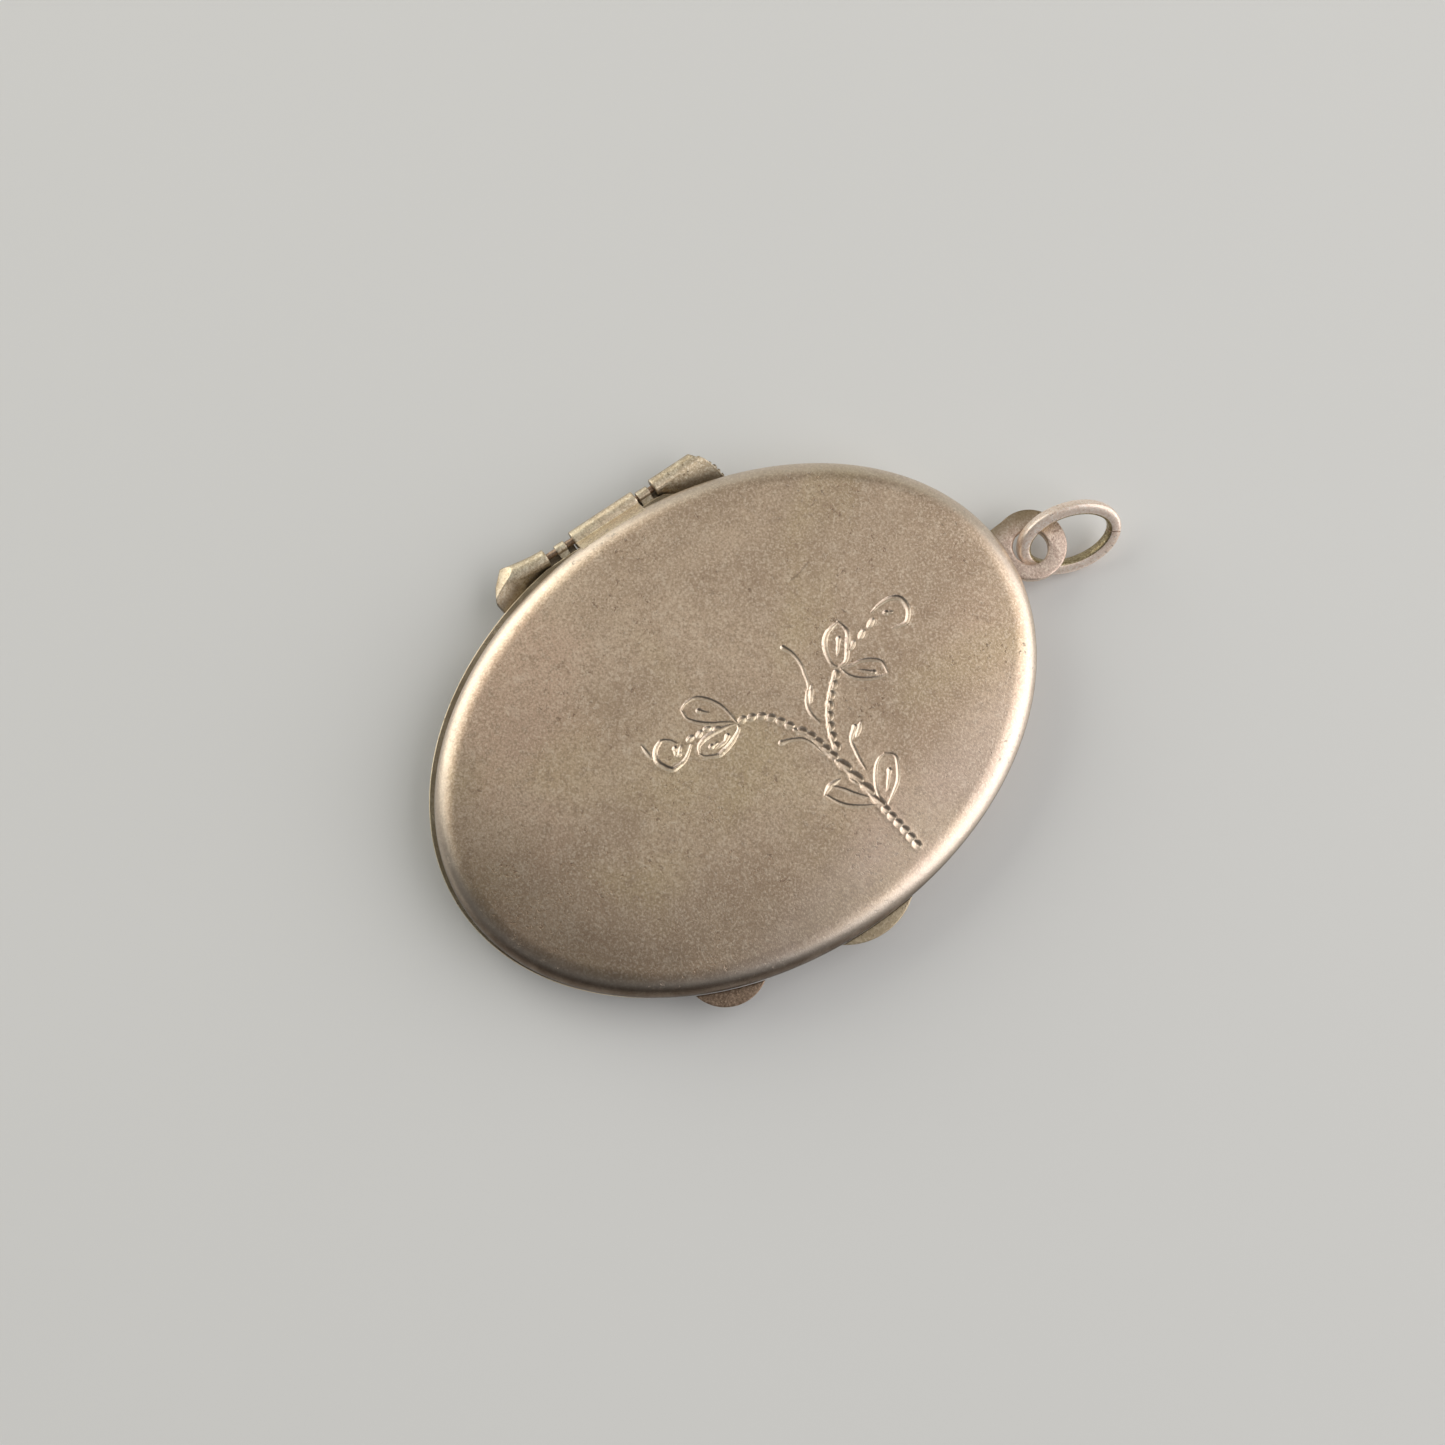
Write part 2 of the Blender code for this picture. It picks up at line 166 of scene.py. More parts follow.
def band(low, high, count):
    """The quads between two closed rows of vertices, each row given by its first index."""
    return [(low + i, low + (i + 1) % count, high + (i + 1) % count, high + i) for i in range(count)]


def oval_rows(profile):
    """Vertices of a profile swept round the oval, and the quads between its rows."""
    vertices = []
    for outward, z in profile:
        for angle in round_angles(AROUND):
            vertices.append(Vector((*oval_point(angle, outward), z)))
    faces = []
    for row in range(len(profile) - 1):
        faces += band(row * AROUND, (row + 1) * AROUND, AROUND)
    return vertices, faces


def oval_ring(name, profile):
    """A closed profile swept right round the oval."""
    vertices, faces = oval_rows(profile)
    return add_mesh(name, vertices, faces + band((len(profile) - 1) * AROUND, 0, AROUND))


def rounded_box(x_range, z_range, radius):
    """A closed rounded-rectangle profile as (outward, z) points."""
    x0, x1 = x_range[0] + radius, x_range[1] - radius
    z0, z1 = z_range[0] + radius, z_range[1] - radius
    profile = []
    for turn, centre in enumerate(((x1, z1), (x0, z1), (x0, z0), (x1, z0))):
        profile += arc(centre, radius, 90 * turn, 90 * (turn + 1), 4)
    return profile


def spline_through(points, step):
    """Evenly spaced points along a Catmull-Rom curve through 2D points."""
    ends = [2 * points[0] - points[1], *points, 2 * points[-1] - points[-2]]
    dense = []
    for a, b, c, d in zip(ends, ends[1:], ends[2:], ends[3:]):
        square, cube = 2 * a - 5 * b + 4 * c - d, 3 * b - a - 3 * c + d
        for i in range(24):
            t = i / 24
            dense.append(0.5 * (2 * b + (c - a) * t + square * t**2 + cube * t**3))
    dense.append(points[-1])
    lengths = [0.0]
    for a, b in zip(dense, dense[1:]):
        lengths.append(lengths[-1] + (b - a).length)
    count = max(2, round(lengths[-1] / step))
    even = []
    k = 0
    for i in range(count + 1):
        target = lengths[-1] * i / count
        while k < len(lengths) - 2 and lengths[k + 1] < target:
            k += 1
        share = (target - lengths[k]) / max(lengths[k + 1] - lengths[k], 1e-12)
        even.append(dense[k].lerp(dense[k + 1], share))
    return even


# ---- the engraved spray, in millimetres
# Each cut is a curve through its points with the half-width of the graver at its start, middle, end.
FINE = (0.07, 0.135, 0.06)
DOT = (0.18, 0.12, 0.04)
BOLD = (0.08, 0.18, 0.07)
CUTS = [
    # tendrils
    (DOT, [(-2.05, 4.75), (-1.45, 5.0), (-0.65, 5.05), (0.0, 4.9), (0.65, 4.7), (1.1, 4.35)]),
    (FINE, [(0.95, 4.4), (1.6, 3.95), (2.3, 3.8), (2.95, 3.9)]),
    (BOLD, [(0.85, 4.8), (1.7, 4.15)]),
    (DOT, [(4.4, 5.5), (4.9, 4.9), (5.65, 4.7), (6.25, 4.6), (6.9, 4.55)]),
    (BOLD, [(4.4, 5.95), (4.95, 5.25)]),
    (DOT, [(2.7, 1.3), (2.85, 1.8), (3.25, 2.5), (3.9, 2.85), (4.6, 3.0)]),
    # leaf above the lower node
    (FINE, [(9.25, 4.15), (8.25, 4.4), (7.35, 4.95), (6.85, 5.5), (6.75, 6.05)]),
    (FINE, [(6.75, 6.05), (7.2, 6.5), (7.85, 6.25), (8.5, 5.8), (8.9, 5.25), (9.35, 4.5)]),
    (DOT, [(7.75, 5.7), (8.65, 4.9)]),
    # leaf below the lower node
    (FINE, [(9.0, 3.85), (8.65, 3.2), (8.15, 2.5), (7.6, 2.05), (6.75, 1.65)]),
    (BOLD, [(6.75, 1.65), (6.5, 2.2), (6.5, 2.9)]),
    (FINE, [(6.5, 2.2), (6.8, 2.5), (7.25, 2.85), (7.7, 3.15), (8.35, 3.7)]),
    (FINE, [(6.85, 3.45), (7.4, 3.7)]),
    # upper pair of leaves
    (BOLD, [(-1.5, 8.45), (-1.3, 7.5), (-0.7, 6.9), (0.3, 6.6), (0.8, 6.75)]),
    (BOLD, [(-1.5, 8.45), (-0.7, 8.55), (0.0, 8.1), (0.75, 7.45), (0.85, 6.8)]),
    (DOT, [(-0.6, 7.85), (0.2, 7.2)]),
    (FINE, [(1.0, 6.9), (1.6, 7.05), (2.15, 7.5), (2.7, 8.4), (2.85, 9.1)]),
    (FINE, [(2.85, 9.1), (2.1, 9.2), (1.65, 8.85), (1.3, 8.2), (1.2, 7.6), (1.0, 6.9)]),
    (DOT, [(2.3, 8.4), (1.65, 7.7)]),
    # left pair of leaves
    (FINE, [(0.15, -0.2), (-1.0, -0.35), (-1.8, -0.7), (-2.5, -1.35), (-2.6, -2.1), (-2.4, -2.55)]),
    (FINE, [(-2.4, -2.55), (-1.75, -2.55), (-1.15, -2.1), (-0.65, -1.5), (-0.35, -0.95), (0.15, -0.2)]),
    (DOT, [(-1.75, -1.7), (-1.3, -1.3)]),
    (BOLD, [(0.2, -0.25), (0.0, -0.85), (-0.15, -2.05), (0.0, -2.85), (0.45, -3.15)]),
    (BOLD, [(0.2, -0.25), (0.55, -0.35), (0.95, -1.1), (1.15, -1.9), (1.15, -2.3), (0.8, -2.95),
            (0.45, -3.15)]),
    (DOT, [(0.5, -1.15), (0.7, -1.5), (0.75, -2.15)]),
    (DOT, [(0.5, -2.3), (0.5, -1.85)]),
    # buds and the short tick beyond the left one
    (BOLD, [(-0.3, -3.25), (0.2, -3.95), (0.35, -4.65), (0.25, -5.1), (-0.55, -5.5), (-1.2, -5.25),
            (-1.5, -4.65), (-1.2, -4.15), (-0.85, -3.95)]),
    (DOT, [(-0.65, -4.2), (-0.25, -4.4)]),
    (DOT, [(-0.25, -4.15), (-0.6, -3.8)]),
    (FINE, [(-1.9, -5.75), (-0.95, -5.7)]),
    (BOLD, [(-0.85, 10.55), (-0.95, 11.2), (-0.9, 11.95), (-0.55, 12.45), (0.15, 12.5), (0.65, 12.2),
            (0.9, 11.75), (0.7, 10.95)]),
    (DOT, [(-0.3, 11.2), (-0.1, 11.6)]),
]
SCRATCH = ((0.03, 0.08, 0.04), [(-5.33, 7.6), (-5.40, 8.3), (-5.62, 9.1)])
# Each chain is a stem cut as a row of overlapping scoops: pitch, half-length, half-width, skew, points,
# and True where one bright line runs along the whole stem.
CHAINS = [
    (0.56, 0.30, 0.26, 0.30, [(12.3, 4.48), (11.3, 4.4), (10.1, 4.22), (9.2, 4.1)]),
    (0.98, 0.53, 0.30, 0.15, [(8.9, 4.08), (7.7, 3.95), (6.6, 3.75), (5.4, 3.5)], True),
    (0.62, 0.34, 0.29, 0.10, [(5.1, 3.42), (4.25, 3.22), (3.35, 3.0), (2.4, 2.5)], True),
    (0.62, 0.31, 0.25, 0.25, [(2.1, 2.32), (1.3, 1.85), (0.75, 1.35), (0.3, 0.5), (0.15, -0.1)]),
    (0.66, 0.31, 0.28, 0.10, [(4.75, 3.9), (4.05, 4.1), (3.3, 4.45), (2.6, 4.9), (2.05, 5.4), (1.55, 5.95),
        (1.0, 6.6)], True),
    (0.92, 0.36, 0.20, 0.45, [(0.2, 8.3), (-0.05, 9.25), (-0.3, 10.1), (-0.35, 10.9)]),
    (0.60, 0.28, 0.20, 0.45, [(-0.2, -1.4), (-0.6, -2.0), (-0.55, -2.6), (-0.65, -3.2), (-0.5, -3.6)]),
]
# Depths of single cuts are shares of their half-width. The burr is a share of any depth.
CUT_DEPTH = 0.46
SCRATCH_DEPTH = 0.25
CHAIN_DEPTH = 0.078 * MM
BURR = 0.15
BURR_RADIUS = 1.2
BURR_SPREAD = 0.18
STAMP_REACH = 1.6
LEAST_BURR = 0.04 * CHAIN_DEPTH
BURR_STOPS = 0.2 * CHAIN_DEPTH  # a burr doesn't rise out of a cut that is deeper than this
# The graver leans: its steep side, which gets painted shade, is towards +Y and a little -X; its broad side,
# which gets a painted highlight, faces it.
STEEP_SIDE = Vector((-0.18, 0.98))
LEAN = 0.12
# The skew says how far across a cut its painted highlight reaches, from -1 to 1; the rest of the cut gets
# painted shade.
CUT_SKEW = 0.25
ALL_STEEP = -1.0
ALL_BROAD = 1.0
SCOOP_TURN = radians(12)
# The bright line along a stem, a shallow cut with a painted highlight, lies to the stem's broad side.
BRIGHT_LINE = 0.13 * MM
BRIGHT_OFFSET = 0.11 * MM
BRIGHT_DEPTH = 0.70 * CHAIN_DEPTH
PATH_STEP = 0.03 * MM
CHAIN_STEP = 0.05
# Spacing of the panel's points: on the cuts, near them and elsewhere.
FINE_PITCH = 0.040 * MM
MIDDLE_PITCH = 0.16 * MM
COARSE_PITCH = 0.75 * MM
TRIANGLE_HEIGHT = 0.866


class Engraving:
    """The cuts over the front face on a fine square grid: their depth, burr, and the painted highlight or
    painted shade of each side.
    """

    def __init__(self):
        self.low = np.array((-HALF_WIDTH, -HALF_LENGTH))
        size = np.ceil(-2 * self.low / FINE_PITCH).astype(int) + 1
        self.depth = np.zeros(size)
        self.burr = np.zeros(size)
        self.painted_shading = np.zeros(size)
        for widths, points in CUTS:
            self.cut(widths, points)
        for chain in CHAINS:
            self.chain(*chain)
        # The scratch has painted shade right across it.
        self.cut(*SCRATCH, ALL_STEEP, SCRATCH_DEPTH)

    def stamp(self, centre, along, half_length, half_width, depth, skew):
        """One oval scoop, deepest towards its steep side, with a slight burr round it, a painted highlight
        on its broad side and painted shade on its steep side.
        """
        reach = STAMP_REACH * max(half_length, half_width)
        first = np.floor((np.array(centre) - reach - self.low) / FINE_PITCH).astype(int)
        last = np.ceil((np.array(centre) + reach - self.low) / FINE_PITCH).astype(int) + 1
        window = (slice(first[0], last[0]), slice(first[1], last[1]))
        x, y = np.mgrid[window]
        dx = x * FINE_PITCH + self.low[0] - centre[0]
        dy = y * FINE_PITCH + self.low[1] - centre[1]
        side = 1 if Vector((-along[1], along[0])).dot(STEEP_SIDE) > 0 else -1
        u = (dx * along[0] + dy * along[1]) / half_length
        v = side * (dy * along[0] - dx * along[1]) / half_width
        radius = np.sqrt(u**2 + v**2)
        edge = np.sqrt(np.clip(1 - u**2, 1e-6, 1))
        across = np.clip(v / edge, -1, 1)
        slope = np.where(across < LEAN, (across + 1) / (1 + LEAN), (1 - across) / (1 - LEAN))
        bowl = depth * edge * np.where(radius < 1, slope, 0) ** 0.9
        lip = BURR * depth * np.exp(-(((radius - BURR_RADIUS) / BURR_SPREAD) ** 2))
        painted_shading = np.where(across < skew, 1.0, -1.0) * edge * np.minimum(1, 2.2 * (1 - np.abs(across)))
        deeper = bowl > self.depth[window]
        self.painted_shading[window] = np.where(deeper, painted_shading, self.painted_shading[window])
        self.depth[window] = np.maximum(self.depth[window], bowl)
        self.burr[window] = np.maximum(self.burr[window], lip)

    def cut(self, widths, points, skew=CUT_SKEW, depth=CUT_DEPTH):
        path = spline_through([Vector(p) * MM for p in points], PATH_STEP)
        start, middle, end = widths
        for i, place in enumerate(path):
            t = i / (len(path) - 1)
            swell = sin(pi * t)
            half = MM * ((start * (1 - t) + end * t) * (1 - swell) + middle * swell)
            along = (path[min(i + 1, len(path) - 1)] - path[max(i - 1, 0)]).normalized()
            self.stamp(place, along, half, half, depth * half, skew)

    def chain(self, pitch, half_length, half_width, skew, points, bright_line=False):
        path = spline_through([Vector(p) * MM for p in points], CHAIN_STEP * MM)
        if bright_line:
            for here, ahead in zip(path, path[1:]):
                along = (ahead - here).normalized()
                broad = Vector((-along.y, along.x))
                broad *= -1 if broad.dot(STEEP_SIDE) > 0 else 1
                place = here + broad * BRIGHT_OFFSET
                self.stamp(place, along, BRIGHT_LINE, BRIGHT_LINE, BRIGHT_DEPTH, ALL_BROAD)
        for i in range(0, len(path), max(1, round(pitch / CHAIN_STEP))):
            along = (path[min(i + 2, len(path) - 1)] - path[max(i - 2, 0)]).normalized()
            along.rotate(Matrix.Rotation(SCOOP_TURN, 2))
            self.stamp(path[i], along, half_length * MM, half_width * MM, CHAIN_DEPTH, skew)

    def points(self):
        """The grid points on and close round the cuts, with their heights and painted shading."""
        touched = (self.depth > 0) | (self.burr > LEAST_BURR)
        places = np.argwhere(touched) * FINE_PITCH + self.low
        depth = self.depth[touched]
        height = self.burr[touched] * (depth < BURR_STOPS) - depth
        return places, height, self.painted_shading[touched]


def sheet_wobble(x, y, seed):
    """The slight unevenness of old thin sheet: long swells and short ones."""
    swells = noise.noise(Vector((x * 90, y * 90, seed)))
    ripples = noise.noise(Vector((x * 260, y * 260, seed + 7)))
    return 0.022 * MM * swells + 0.006 * MM * ripples


def grid_points(pitch):
    """A triangular grid over the panel, inside its edge."""
    found = []
    rows = int(PANEL_LENGTH / (pitch * TRIANGLE_HEIGHT)) + 1
    for row in range(-rows, rows + 1):
        y = row * pitch * TRIANGLE_HEIGHT
        shift = 0.5 * pitch * (row % 2)
        columns = int(PANEL_WIDTH / pitch) + 1
        for column in range(-columns, columns + 1):
            x = column * pitch + shift
            if (x / (PANEL_WIDTH - 0.5 * pitch)) ** 2 + (y / (PANEL_LENGTH - 0.5 * pitch)) ** 2 < 1:
                found.append((x, y))
    return np.array(found)


def cells_round(points, size, reach):
    """The cells of a square grid that lie within so many cells of any of the points."""
    spread = range(-reach, reach + 1)
    cells = np.unique(np.round(points / size).astype(int), axis=0).tolist()
    return {(x + i, y + j) for x, y in cells for i in spread for j in spread}


def panel_points(engraving):
    """Points of the front panel: dense on the cuts, closer near them, and wide elsewhere."""
    fine, height, painted_shading = engraving.points()
    near = cells_round(fine, MIDDLE_PITCH, 2)
    taken = cells_round(fine, FINE_PITCH, 1)

    def is_in(cells, point, size):
        return (round(point[0] / size), round(point[1] / size)) in cells

    kept = [p for p in grid_points(MIDDLE_PITCH) if is_in(near, p, MIDDLE_PITCH)]
    kept = [p for p in kept if not is_in(taken, p, FINE_PITCH)]
    kept += [p for p in grid_points(COARSE_PITCH) if not is_in(near, p, MIDDLE_PITCH)]
    places = np.vstack([fine, np.array(kept)])
    plain = np.zeros(len(kept))
    return places, np.concatenate([height, plain]), np.concatenate([painted_shading, plain])


def cover(name, rim_z, face_z, engraving=None, seed=1.0):
    """One stamped cover. The face is crowned outside and flat inside, where the picture seats.

    Its second material is for the inside, and its "cut" attribute is the painted highlight and painted shade
    of the engraving.
    """
    up = 1 if face_z > rim_z else -1
    flat_z = face_z - up * CROWN
    height = abs(flat_z - rim_z)

    def to_z(profile):
        return [(outward, rim_z + up * z) for outward, z in profile]

    shoulder_z = height - SHOULDER
    inner_radius = SHOULDER - SHEET
    ceiling = abs(face_z - rim_z) - SHEET
    profile = [(x, shoulder_z + z) for x, z in SHOULDER_CURVE]
    profile += arc((-EDGE, EDGE), EDGE, 0, -90, 4)
    profile += arc((-SHEET + EDGE, EDGE), EDGE, -90, -180, 4)
    first_inside = (len(profile) - 1) * AROUND
    profile += arc((-SHOULDER, ceiling - inner_radius), inner_radius, 0, 90, 8)
    vertices, faces = oval_rows(to_z(profile))
    last_row = (len(profile) - 1) * AROUND
    last_inside = len(faces)

    if engraving is None:
        places = grid_points(COARSE_PITCH)
        heights = painted_shadings = np.zeros(len(places))
    else:
        places, heights, painted_shadings = panel_points(engraving)
    boundary = [oval_point(angle, PANEL_INSET) for angle in round_angles(AROUND)]
    points = boundary + [Vector(p) for p in places]
    edges = [(i, (i + 1) % AROUND) for i in range(AROUND)]
    new_points, _, triangles, sources, *_ = geometry.delaunay_2d_cdt(points, edges, [], 1, 1e-9)

    def face_height(x, y):
        fall = min(1.0, (x / PANEL_WIDTH) ** 2 + (y / PANEL_LENGTH) ** 2)
        edge_z = rim_z + up * profile[0][1]
        return edge_z + (face_z - edge_z) * (1 - fall**2) + up * sheet_wobble(x, y, seed) * (1 - fall)

    place_of = []
    cut_painted_shadings = [0.0] * len(vertices)
    for (x, y), source in zip(new_points, sources):
        k = source[0] - AROUND
        if k < 0:  # a point of the boundary, which the shoulder's first row has already
            place_of.append(source[0])
            continue
        place_of.append(len(vertices))
        vertices.append(Vector((x, y, face_height(x, y) + up * heights[k])))
        cut_painted_shadings.append(painted_shadings[k])
    faces += [tuple(place_of[i] for i in triangle) for triangle in triangles]

    middle = len(vertices)
    vertices.append(Vector((0, 0, rim_z + up * ceiling)))
    for i in range(AROUND):
        faces.append((last_row + i, last_row + (i + 1) % AROUND, middle))
    piece = add_mesh(name, vertices, faces, sharp_angle=60)
    cut = piece.data.attributes.new("cut", "FLOAT", "POINT")
    cut.data.foreach_set("value", np.array(cut_painted_shadings + [0.0], np.float32))
    first_of_ceiling = len(piece.data.polygons) - AROUND
    for face in piece.data.polygons:
        inside = first_inside <= face.index < last_inside or face.index >= first_of_ceiling
        face.material_index = int(inside)
    return piece


# ---- flat plates with rounded edges
def slab(name, outlines, low_z, high_z, edge):
    """A plate between two heights from 2D outlines, the first the edge and the others holes."""
    curve = bpy.data.curves.new(name, "CURVE")
    curve.dimensions = "2D"
    curve.fill_mode = "BOTH"
    curve.extrude = (high_z - low_z) / 2 - edge
    curve.bevel_depth = edge
    curve.bevel_resolution = 3
    curve.offset = -edge
    for outline in outlines:
        spline = curve.splines.new("POLY")
        spline.points.add(len(outline) - 1)
        for point, place in zip(spline.points, outline):
            point.co = (place[0], place[1], 0, 1)
        spline.use_cyclic_u = True
    holder = linked(name + "_outline", curve)
    holder.location.z = (low_z + high_z) / 2
    return finished(name, evaluated(holder), merge=1e-7)


# ---- hinge tubes
def tube_mesh(radius, y_range, bore, blind=None, mitre=0.0, bevel=0.0, sides=56, edge=0.05 * MM, rows=1):
    """A tube on the hinge axis. The end that blind names, "low" or "high", is closed.

    A blind high end runs on by the mitre on its +X side and is cut back by the bevel at its top.
    """
    low_y, high_y = y_range
    cap = 0.55 * radius
    profile = [(0.0, low_y), (cap, low_y)] if blind == "low" else [(bore, low_y)]
    profile += [(radius - edge, low_y), (radius - 0.3 * edge, low_y + 0.3 * edge), (radius, low_y + edge)]
    profile += [(radius, low_y + edge + (high_y - low_y - 2 * edge) * i / rows) for i in range(1, rows)]
    slanted = len(profile)
    profile += [(radius, high_y - edge), (radius - 0.3 * edge, high_y - 0.3 * edge), (radius - edge, high_y)]
    if blind == "high":
        profile += [(cap, high_y), (0.0, high_y)]
        slanted += 2
        profile = [(0.0, high_y - BLIND_DEPTH), (bore, high_y - BLIND_DEPTH)] + profile
    else:
        profile += [(bore, high_y)]
    shape = bmesh.new()
    loops = []
    for row, (r, y) in enumerate(profile):
        points = []
        for angle in round_angles(1 if r == 0.0 else sides):
            dx, dz = r * cos(angle), r * sin(angle)
            run = (mitre * dx - bevel * dz) / radius if row >= slanted else 0.0
            points.append(shape.verts.new((HINGE.x + dx, y + run, HINGE.z + dz)))
        loops.append(points)
    if blind is None:
        loops.append(loops[0])
    for a, b in zip(loops, loops[1:]):
        for i in range(sides):
            j = (i + 1) % sides
            corners = (a[i % len(a)], a[j % len(a)], b[j % len(b)], b[i % len(b)])
            shape.faces.new(tuple(dict.fromkeys(corners)))  # a triangle where a row is one point
    return outwards(shape)


def skinned(shape, rows):
    """Closes a solid over rows of points: quads between the rows and a face at each end."""
    count = len(rows[0])
    for a, b in zip(rows, rows[1:]):
        for k in range(count):
            m = (k + 1) % count
            shape.faces.new((a[k], a[m], b[m], b[k]))
    shape.faces.new(rows[0])
    shape.faces.new(rows[-1])
    return outwards(shape)


def barrel_foot(y_range):
    """The strip of the leaf that a leaf barrel is rolled from."""
    low_y, high_y = y_range
    low_z, high_z = FOOT_HEIGHTS
    shape = bmesh.new()
    rows = []
    for i in range(WEB_STEPS + 1):
        y = low_y + (high_y - low_y) * i / WEB_STEPS
        wall = oval_point(oval_angle_at(y, -1), FOOT_OUTWARD).x
        corners = ((FOOT_START, low_z), (FOOT_START, high_z), (wall, high_z), (wall, low_z))
        rows.append([shape.verts.new((x, y, z)) for x, z in corners])
    return skinned(shape, rows)


def bearing(inner_y, end_line, profile, wall_outward):
    """The solid web between a hinge tube and a cover's wall, ending along an oblique line.

    end_line holds (x, y) points from the tube outwards. profile(y, reach, wall) gives the heights
    above the hinge of the top and bottom, where reach and wall are distances from the hinge.
    """
    shape = bmesh.new()
    rows = []
    end_x, end_y = zip(*end_line)
    for i in range(WEB_STEPS + 1):
        t = i / WEB_STEPS
        upper, lower = [], []
        for k in range(REACH_STEPS + 1):
            s = k / REACH_STEPS
            x = HINGE.x
            for _ in range(8):  # x and y depend on each other; this settles them
                y = inner_y + t * (np.interp(x, end_x, end_y) - inner_y)
                wall = oval_point(oval_angle_at(y, -1), wall_outward).x
                x = HINGE.x + s * (wall - HINGE.x)
            top, bottom = profile(y, x - HINGE.x, wall - HINGE.x)
            upper.append(shape.verts.new((x, y, HINGE.z + top)))
            lower.append(shape.verts.new((x, y, HINGE.z + bottom)))
        rows.append(upper + lower[::-1])
    return skinned(shape, rows)


def trimmed(shape, cuts):
    """The solid cut back by planes, each a point and its outward direction, and closed again."""
    for point, outward in cuts:
        whole = shape.verts[:] + shape.edges[:] + shape.faces[:]
        found = bmesh.ops.bisect_plane(
            shape, geom=whole, plane_co=Vector(point) * MM, plane_no=Vector(outward), clear_outer=True
        )
        rim = [item for item in found["geom_cut"] if isinstance(item, bmesh.types.BMEdge)]
        if rim:
            bmesh.ops.edgeloop_fill(shape, edges=rim)
    return outwards(shape)


def splayed(shape):
    """Bends the far end of the left knuckle outwards, as the real one has been bent."""
    for vertex in shape.verts:
        past = min(1.0, max(0.0, (SPLAY_START - vertex.co.y) / SPLAY_RUN))
        share = min(1.0, max(0.0, (HINGE.x + SPLAY_REACH - vertex.co.x) / SPLAY_REACH))
        vertex.co.x -= SPLAY * past**1.5 * share
    return shape


def rear_web(y, reach, wall):
    """From the tube's crown in one slope to just under the leaf's edge, then level to the wall."""
    leaf_reach = oval_point(oval_angle_at(y, -1), leaf_proud(oval_angle_at(y, -1))).x - HINGE.x
    foot = Vector((leaf_reach - 0.05 * MM, UNDER_LEAF))
    turn = atan2(foot.y, foot.x) + acos(KNUCKLE_RADIUS / foot.length)
    crown = 0.985 * KNUCKLE_RADIUS * Vector((cos(turn), sin(turn)))
    top = np.interp(reach, [crown.x, foot.x, wall], [crown.y, foot.y, foot.y - 0.05 * MM])
    bottom = -0.45 * MM - 0.50 * MM * reach / wall
    return float(top), float(bottom)


def under_barrel(y, reach, wall):
    """The thin shelf of solder that runs on under a leaf barrel."""
    return -0.47 * MM, -0.62 * MM - 0.33 * MM * reach / wall


def front_web(y, reach, wall):
    """A shallow valley beside the tube, rising into the front cover's shoulder."""
    rise = max(0.0, (reach - 0.35 * MM) / (wall - 0.35 * MM))
    top = 0.44 * MM + 1.16 * MM * rise**1.1
    return top, FRONT_LOW.z - HINGE.z + 0.01 * MM


def solder_lump(centre, radius, seed):
    """One small rough bead of solder, from millimetres."""
    shape = bmesh.new()
    bmesh.ops.create_icosphere(shape, subdivisions=3, radius=radius * MM)
    for vertex in shape.verts:
        swell = 1 + 0.35 * noise.noise(vertex.co / (radius * MM) * 1.6 + Vector((seed, 0, 0)))
        vertex.co = Vector([c * MM for c in centre]) + vertex.co * swell
    return shape


def fuse(name, shapes, voxel, smoothing):
    """Joins overlapping solids into one with softened, worn edges."""
    whole = bmesh.new()
    for shape in shapes:
        part = mesh_of("part", shape)
        whole.from_mesh(part)
        bpy.data.meshes.remove(part)
    holder = linked(name + "_parts", mesh_of(name, whole))
    remesh = holder.modifiers.new("fuse", "REMESH")
    remesh.mode = "VOXEL"
    remesh.voxel_size = voxel
    smooth = holder.modifiers.new("wear", "SMOOTH")
    smooth.factor = 0.5
    smooth.iterations = smoothing
    result = evaluated(holder)
    result.name = name
    result.shade_smooth()
    return linked(name, result)


